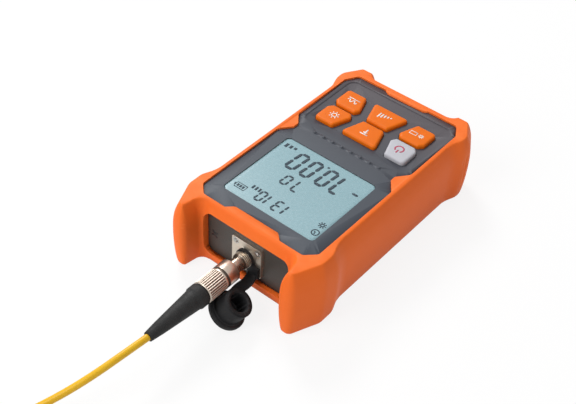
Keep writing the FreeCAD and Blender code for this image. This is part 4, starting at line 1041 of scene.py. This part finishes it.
def finish_tree(tree, geometry, out, finish):
    """Ends a tree in real geometry with its finish on."""
    real = tree.nodes.new("GeometryNodeRealizeInstances")
    paint = tree.nodes.new("GeometryNodeSetMaterial")
    paint.inputs["Material"].default_value = finish
    wire(tree, (geometry, real.inputs[0]), (real.outputs[0], paint.inputs["Geometry"]),
         (paint.outputs[0], out.inputs[0]))


def grown(name, tree, sizes):
    """Runs a tree once and returns its result as a plain bmesh."""
    carrier = placed(name, bpy.data.meshes.new(name))
    modifier = carrier.modifiers.new("grow", "NODES")
    modifier.node_group = tree
    for item in tree.interface.items_tree:
        if item.in_out == "INPUT" and item.name in sizes:
            modifier[item.identifier] = sizes[item.name]
    depsgraph = bpy.context.evaluated_depsgraph_get()
    mesh = bpy.data.meshes.new_from_object(carrier.evaluated_get(depsgraph))
    bpy.data.objects.remove(carrier)
    bm = bmesh.new()
    bm.from_mesh(mesh)
    bmesh.ops.remove_doubles(bm, verts=bm.verts, dist=1e-7)
    return bm


# %% Thread of the port
def thread_tree():
    """A spiral along Z, swept with a triangular section."""
    tree, sizes, out = new_tree("screw_thread", Radius="Float", Length="Float", Turns="Float",
                                Depth="Float")
    spiral = node(tree, "GeometryNodeCurveSpiral", Resolution=72)
    section = node(tree, "GeometryNodeCurvePrimitiveCircle", Resolution=3)
    sweep = node(tree, "GeometryNodeCurveToMesh")
    sweep.inputs["Fill Caps"].default_value = True
    wire(tree, (sizes["Turns"], spiral.inputs["Rotations"]),
         (sizes["Radius"], spiral.inputs["Start Radius"]),
         (sizes["Radius"], spiral.inputs["End Radius"]),
         (sizes["Length"], spiral.inputs["Height"]),
         (sizes["Depth"], section.inputs["Radius"]),
         (spiral.outputs["Curve"], sweep.inputs["Curve"]),
         (section.outputs["Curve"], sweep.inputs["Profile Curve"]))
    finish_tree(tree, sweep.outputs["Mesh"], out, FLANGE)
    return tree


THREAD_PITCH, THREAD_TURNS, THREAD_DEPTH = 0.80 * MM, 3.3, 0.30 * MM
THREAD_START = 0.35 * MM


def add_thread():
    low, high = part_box("adapter_body")
    bm = grown("port_thread", thread_tree(),
               {"Radius": (THREAD_ROOT + 0.02) * MM, "Length": THREAD_PITCH * THREAD_TURNS,
                "Turns": THREAD_TURNS, "Depth": THREAD_DEPTH})
    start = Matrix.Translation((0, low.y + THREAD_START, (low.z + high.z) / 2))
    bmesh.ops.transform(bm, matrix=start @ Matrix.Rotation(-math.pi / 2, 4, "X"), verts=bm.verts)
    bmesh.ops.recalc_face_normals(bm, faces=bm.faces)
    made = as_piece(bm, "port_thread", FLANGE, "meter", 20.0)
    return made


print("thread faces", len(add_thread().data.polygons))


# %% Grip of the coupling nuts
def rib_tree():
    """Ribs along Z, set round a circle."""
    tree, sizes, out = new_tree("ribbed_grip", Radius="Float", Count="Int", Width="Float",
                                Length="Float")
    ring = node(tree, "GeometryNodeCurvePrimitiveCircle", Resolution=34)
    spots = node(tree, "GeometryNodeCurveToPoints")
    rib = node(tree, "GeometryNodeMeshCylinder", Vertices=6)
    places = tree.nodes.new("GeometryNodeInstanceOnPoints")
    wire(tree, (sizes["Radius"], ring.inputs["Radius"]),
         (ring.outputs["Curve"], spots.inputs["Curve"]),
         (sizes["Count"], spots.inputs["Count"]),
         (sizes["Width"], rib.inputs["Radius"]),
         (sizes["Length"], rib.inputs["Depth"]),
         (spots.outputs["Points"], places.inputs["Points"]),
         (rib.outputs["Mesh"], places.inputs["Instance"]))
    finish_tree(tree, places.outputs["Instances"], out, RIB)
    return tree


# %% [markdown]
# The nut itself is a turned part, so its body is a profile spun round the axis: bore, rounded
# front, smooth collar, a groove, the grip and the neck at the back. The grip is turned a
# little lower than the collar, and the ribs stand on it.
# %% Turned nut with its grip
GRIP = rib_tree()
FAR_AXIS = Vector((0.945595, -0.30668, 0.108616))
NUT_R, NUT_BORE, NUT_NECK = 5.1, 4.15, 3.4
NUT_L, COLLAR_L = 17.2, 5.6
GRIP_R, RIBS, RIB_W = 4.72, 30, 0.52
BORE_L = 9.0
RING_R, RING_FRONT, RING_REAR = 4.4, 12.35, 13.65
# along the axis from the front face, radius
NUT_PROFILE = [
    (0.0, NUT_BORE), (0.0, NUT_R - 0.45), (-0.15, NUT_R - 0.2), (-0.45, NUT_R - 0.1),
    (-COLLAR_L, NUT_R - 0.1), (-COLLAR_L - 0.3, NUT_R - 0.7), (-COLLAR_L - 1.0, NUT_R - 0.7),
    (-COLLAR_L - 1.3, NUT_R - 0.05), (-COLLAR_L - 1.8, NUT_R - 0.05), (-COLLAR_L - 2.0, GRIP_R),
    (-NUT_L + 0.6, GRIP_R), (-NUT_L + 0.5, NUT_R - 0.1), (-NUT_L + 0.3, NUT_R - 0.15),
    (-NUT_L, NUT_R - 0.5), (-NUT_L, NUT_NECK), (-RING_REAR, NUT_NECK), (-RING_REAR, RING_R),
    (-RING_FRONT, RING_R), (-RING_FRONT, NUT_NECK), (-BORE_L, NUT_NECK), (-BORE_L, NUT_BORE),
]
RIB_START = COLLAR_L + 1.85
RIB_L = NUT_L - COLLAR_L - 2.3


def spun(profile, front, axis, steps=96):
    """A closed profile spun round an axis, as a bmesh."""
    bm = bmesh.new()
    side = axis.orthogonal().normalized()
    rows = []
    for i in range(steps):
        out = Matrix.Rotation(2 * math.pi * i / steps, 3, axis) @ side
        rows.append([bm.verts.new(front + (axis * a + out * r) * MM) for a, r in profile])
    for i, row in enumerate(rows):
        bridge(bm, row, rows[(i + 1) % steps])
    bmesh.ops.recalc_face_normals(bm, faces=bm.faces)
    return bm


def grip_ribs(name, middle, axis):
    """The ribs of one nut as a mesh, with the rib finish's number on every face."""
    bm = grown(name + "_ribs", GRIP, {"Radius": (NUT_R - RIB_W / 2 - 0.02) * MM, "Count": RIBS,
                                      "Width": RIB_W / 2 * MM, "Length": RIB_L * MM})
    turn = Matrix.Translation(middle) @ axis.to_track_quat("Z", "Y").to_matrix().to_4x4()
    bmesh.ops.transform(bm, matrix=turn, verts=bm.verts)
    bmesh.ops.recalc_face_normals(bm, faces=bm.faces)
    for face in bm.faces:
        face.material_index = 2
    mesh = bpy.data.meshes.new(name + "_ribs")
    bm.to_mesh(mesh)
    bm.free()
    return mesh


def add_nut(name, axis):
    """A nut whose front face lies where its solid reaches furthest along the axis."""
    spots = [v.co for v in NODES[name].data.vertices]
    reach = max(p.dot(axis) for p in spots)
    rim = [p for p in spots if p.dot(axis) > reach - 2e-5]
    front = sum(rim, Vector()) / len(rim)
    bm = spun(NUT_PROFILE, front, axis)
    for face in bm.faces:
        spot = face.calc_center_median() - front
        deep = (spot - axis * spot.dot(axis)).length < (GRIP_R + 0.05) * MM
        # faces behind the collar inside the grip's radius (groove, grip floor, neck) get the dark
        # second finish: painted shade between the ribs
        face.material_index = int(deep and -spot.dot(axis) > COLLAR_L * MM)
    bm.from_mesh(grip_ribs(name, front - axis * (RIB_START + RIB_L / 2) * MM, axis))
    made = as_piece(bm, name + "_turned", NUT, BODY_OF[name], 32.0)
    made.data.materials.append(GROOVE_SHADE)
    made.data.materials.append(RIB)
    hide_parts(name)
    return made


near_nut = add_nut("coupling_nut", Vector((0, 1, 0)))
far_nut = add_nut("far_coupling_nut", FAR_AXIS)
print("nut faces", len(near_nut.data.polygons), len(far_nut.data.polygons))


# %% [markdown]
# ## The cord takes its finish and rides on the meter
# The yellow jacket goes on, and a narrow strip ties the coil once so that it keeps together.
# The cord rides on the meter's body, and the solid's cord pieces are hidden.
# %% Tie round the coil
TIE_ANGLE = math.radians(205)
TIE_W, TIE_T = 5.0, 0.26


def tie_outline(grow, steps=8):
    """Rounded box round the bundle, in (radius, height) about the coil's axis."""
    inner, outer, low, high, corner = 13.2, 22.8, 0.30, 9.15, 1.5
    spots = []
    for cx, cz, start in ((outer - corner, high - corner, 0), (inner + corner, high - corner, 90),
                          (inner + corner, low + corner, 180), (outer - corner, low + corner, 270)):
        spots += arc(corner + grow, start, start + 90, (cx, cz), steps)
    return spots


def add_tie():
    bm = bmesh.new()
    out = Vector((math.cos(TIE_ANGLE), math.sin(TIE_ANGLE), 0))
    along = Vector((-out.y, out.x, 0))
    rows = []
    for side in (-0.5, 0.5):
        for grow in (0.0, TIE_T):
            ring = [COIL_CENTRE + out * r + along * side * TIE_W + Vector((0, 0, z - COIL_CENTRE.z))
                    for r, z in tie_outline(grow)]
            rows.append([bm.verts.new(p * MM) for p in ring])
    for one, two in ((0, 1), (1, 3), (3, 2), (2, 0)):
        bridge(bm, rows[one], rows[two])
    bmesh.ops.remove_doubles(bm, verts=bm.verts, dist=1e-6)
    bmesh.ops.recalc_face_normals(bm, faces=bm.faces)
    made = as_piece(bm, "coil_tie", TIE, "meter")
    return made


coil_tie = add_tie()
print("tie faces", len(coil_tie.data.polygons))

# %% Cord finished and attached
patch_cord.data.materials.append(JACKET)
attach(patch_cord, "meter")
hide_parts("cord_tube", "cord_coil", "cord_tail")
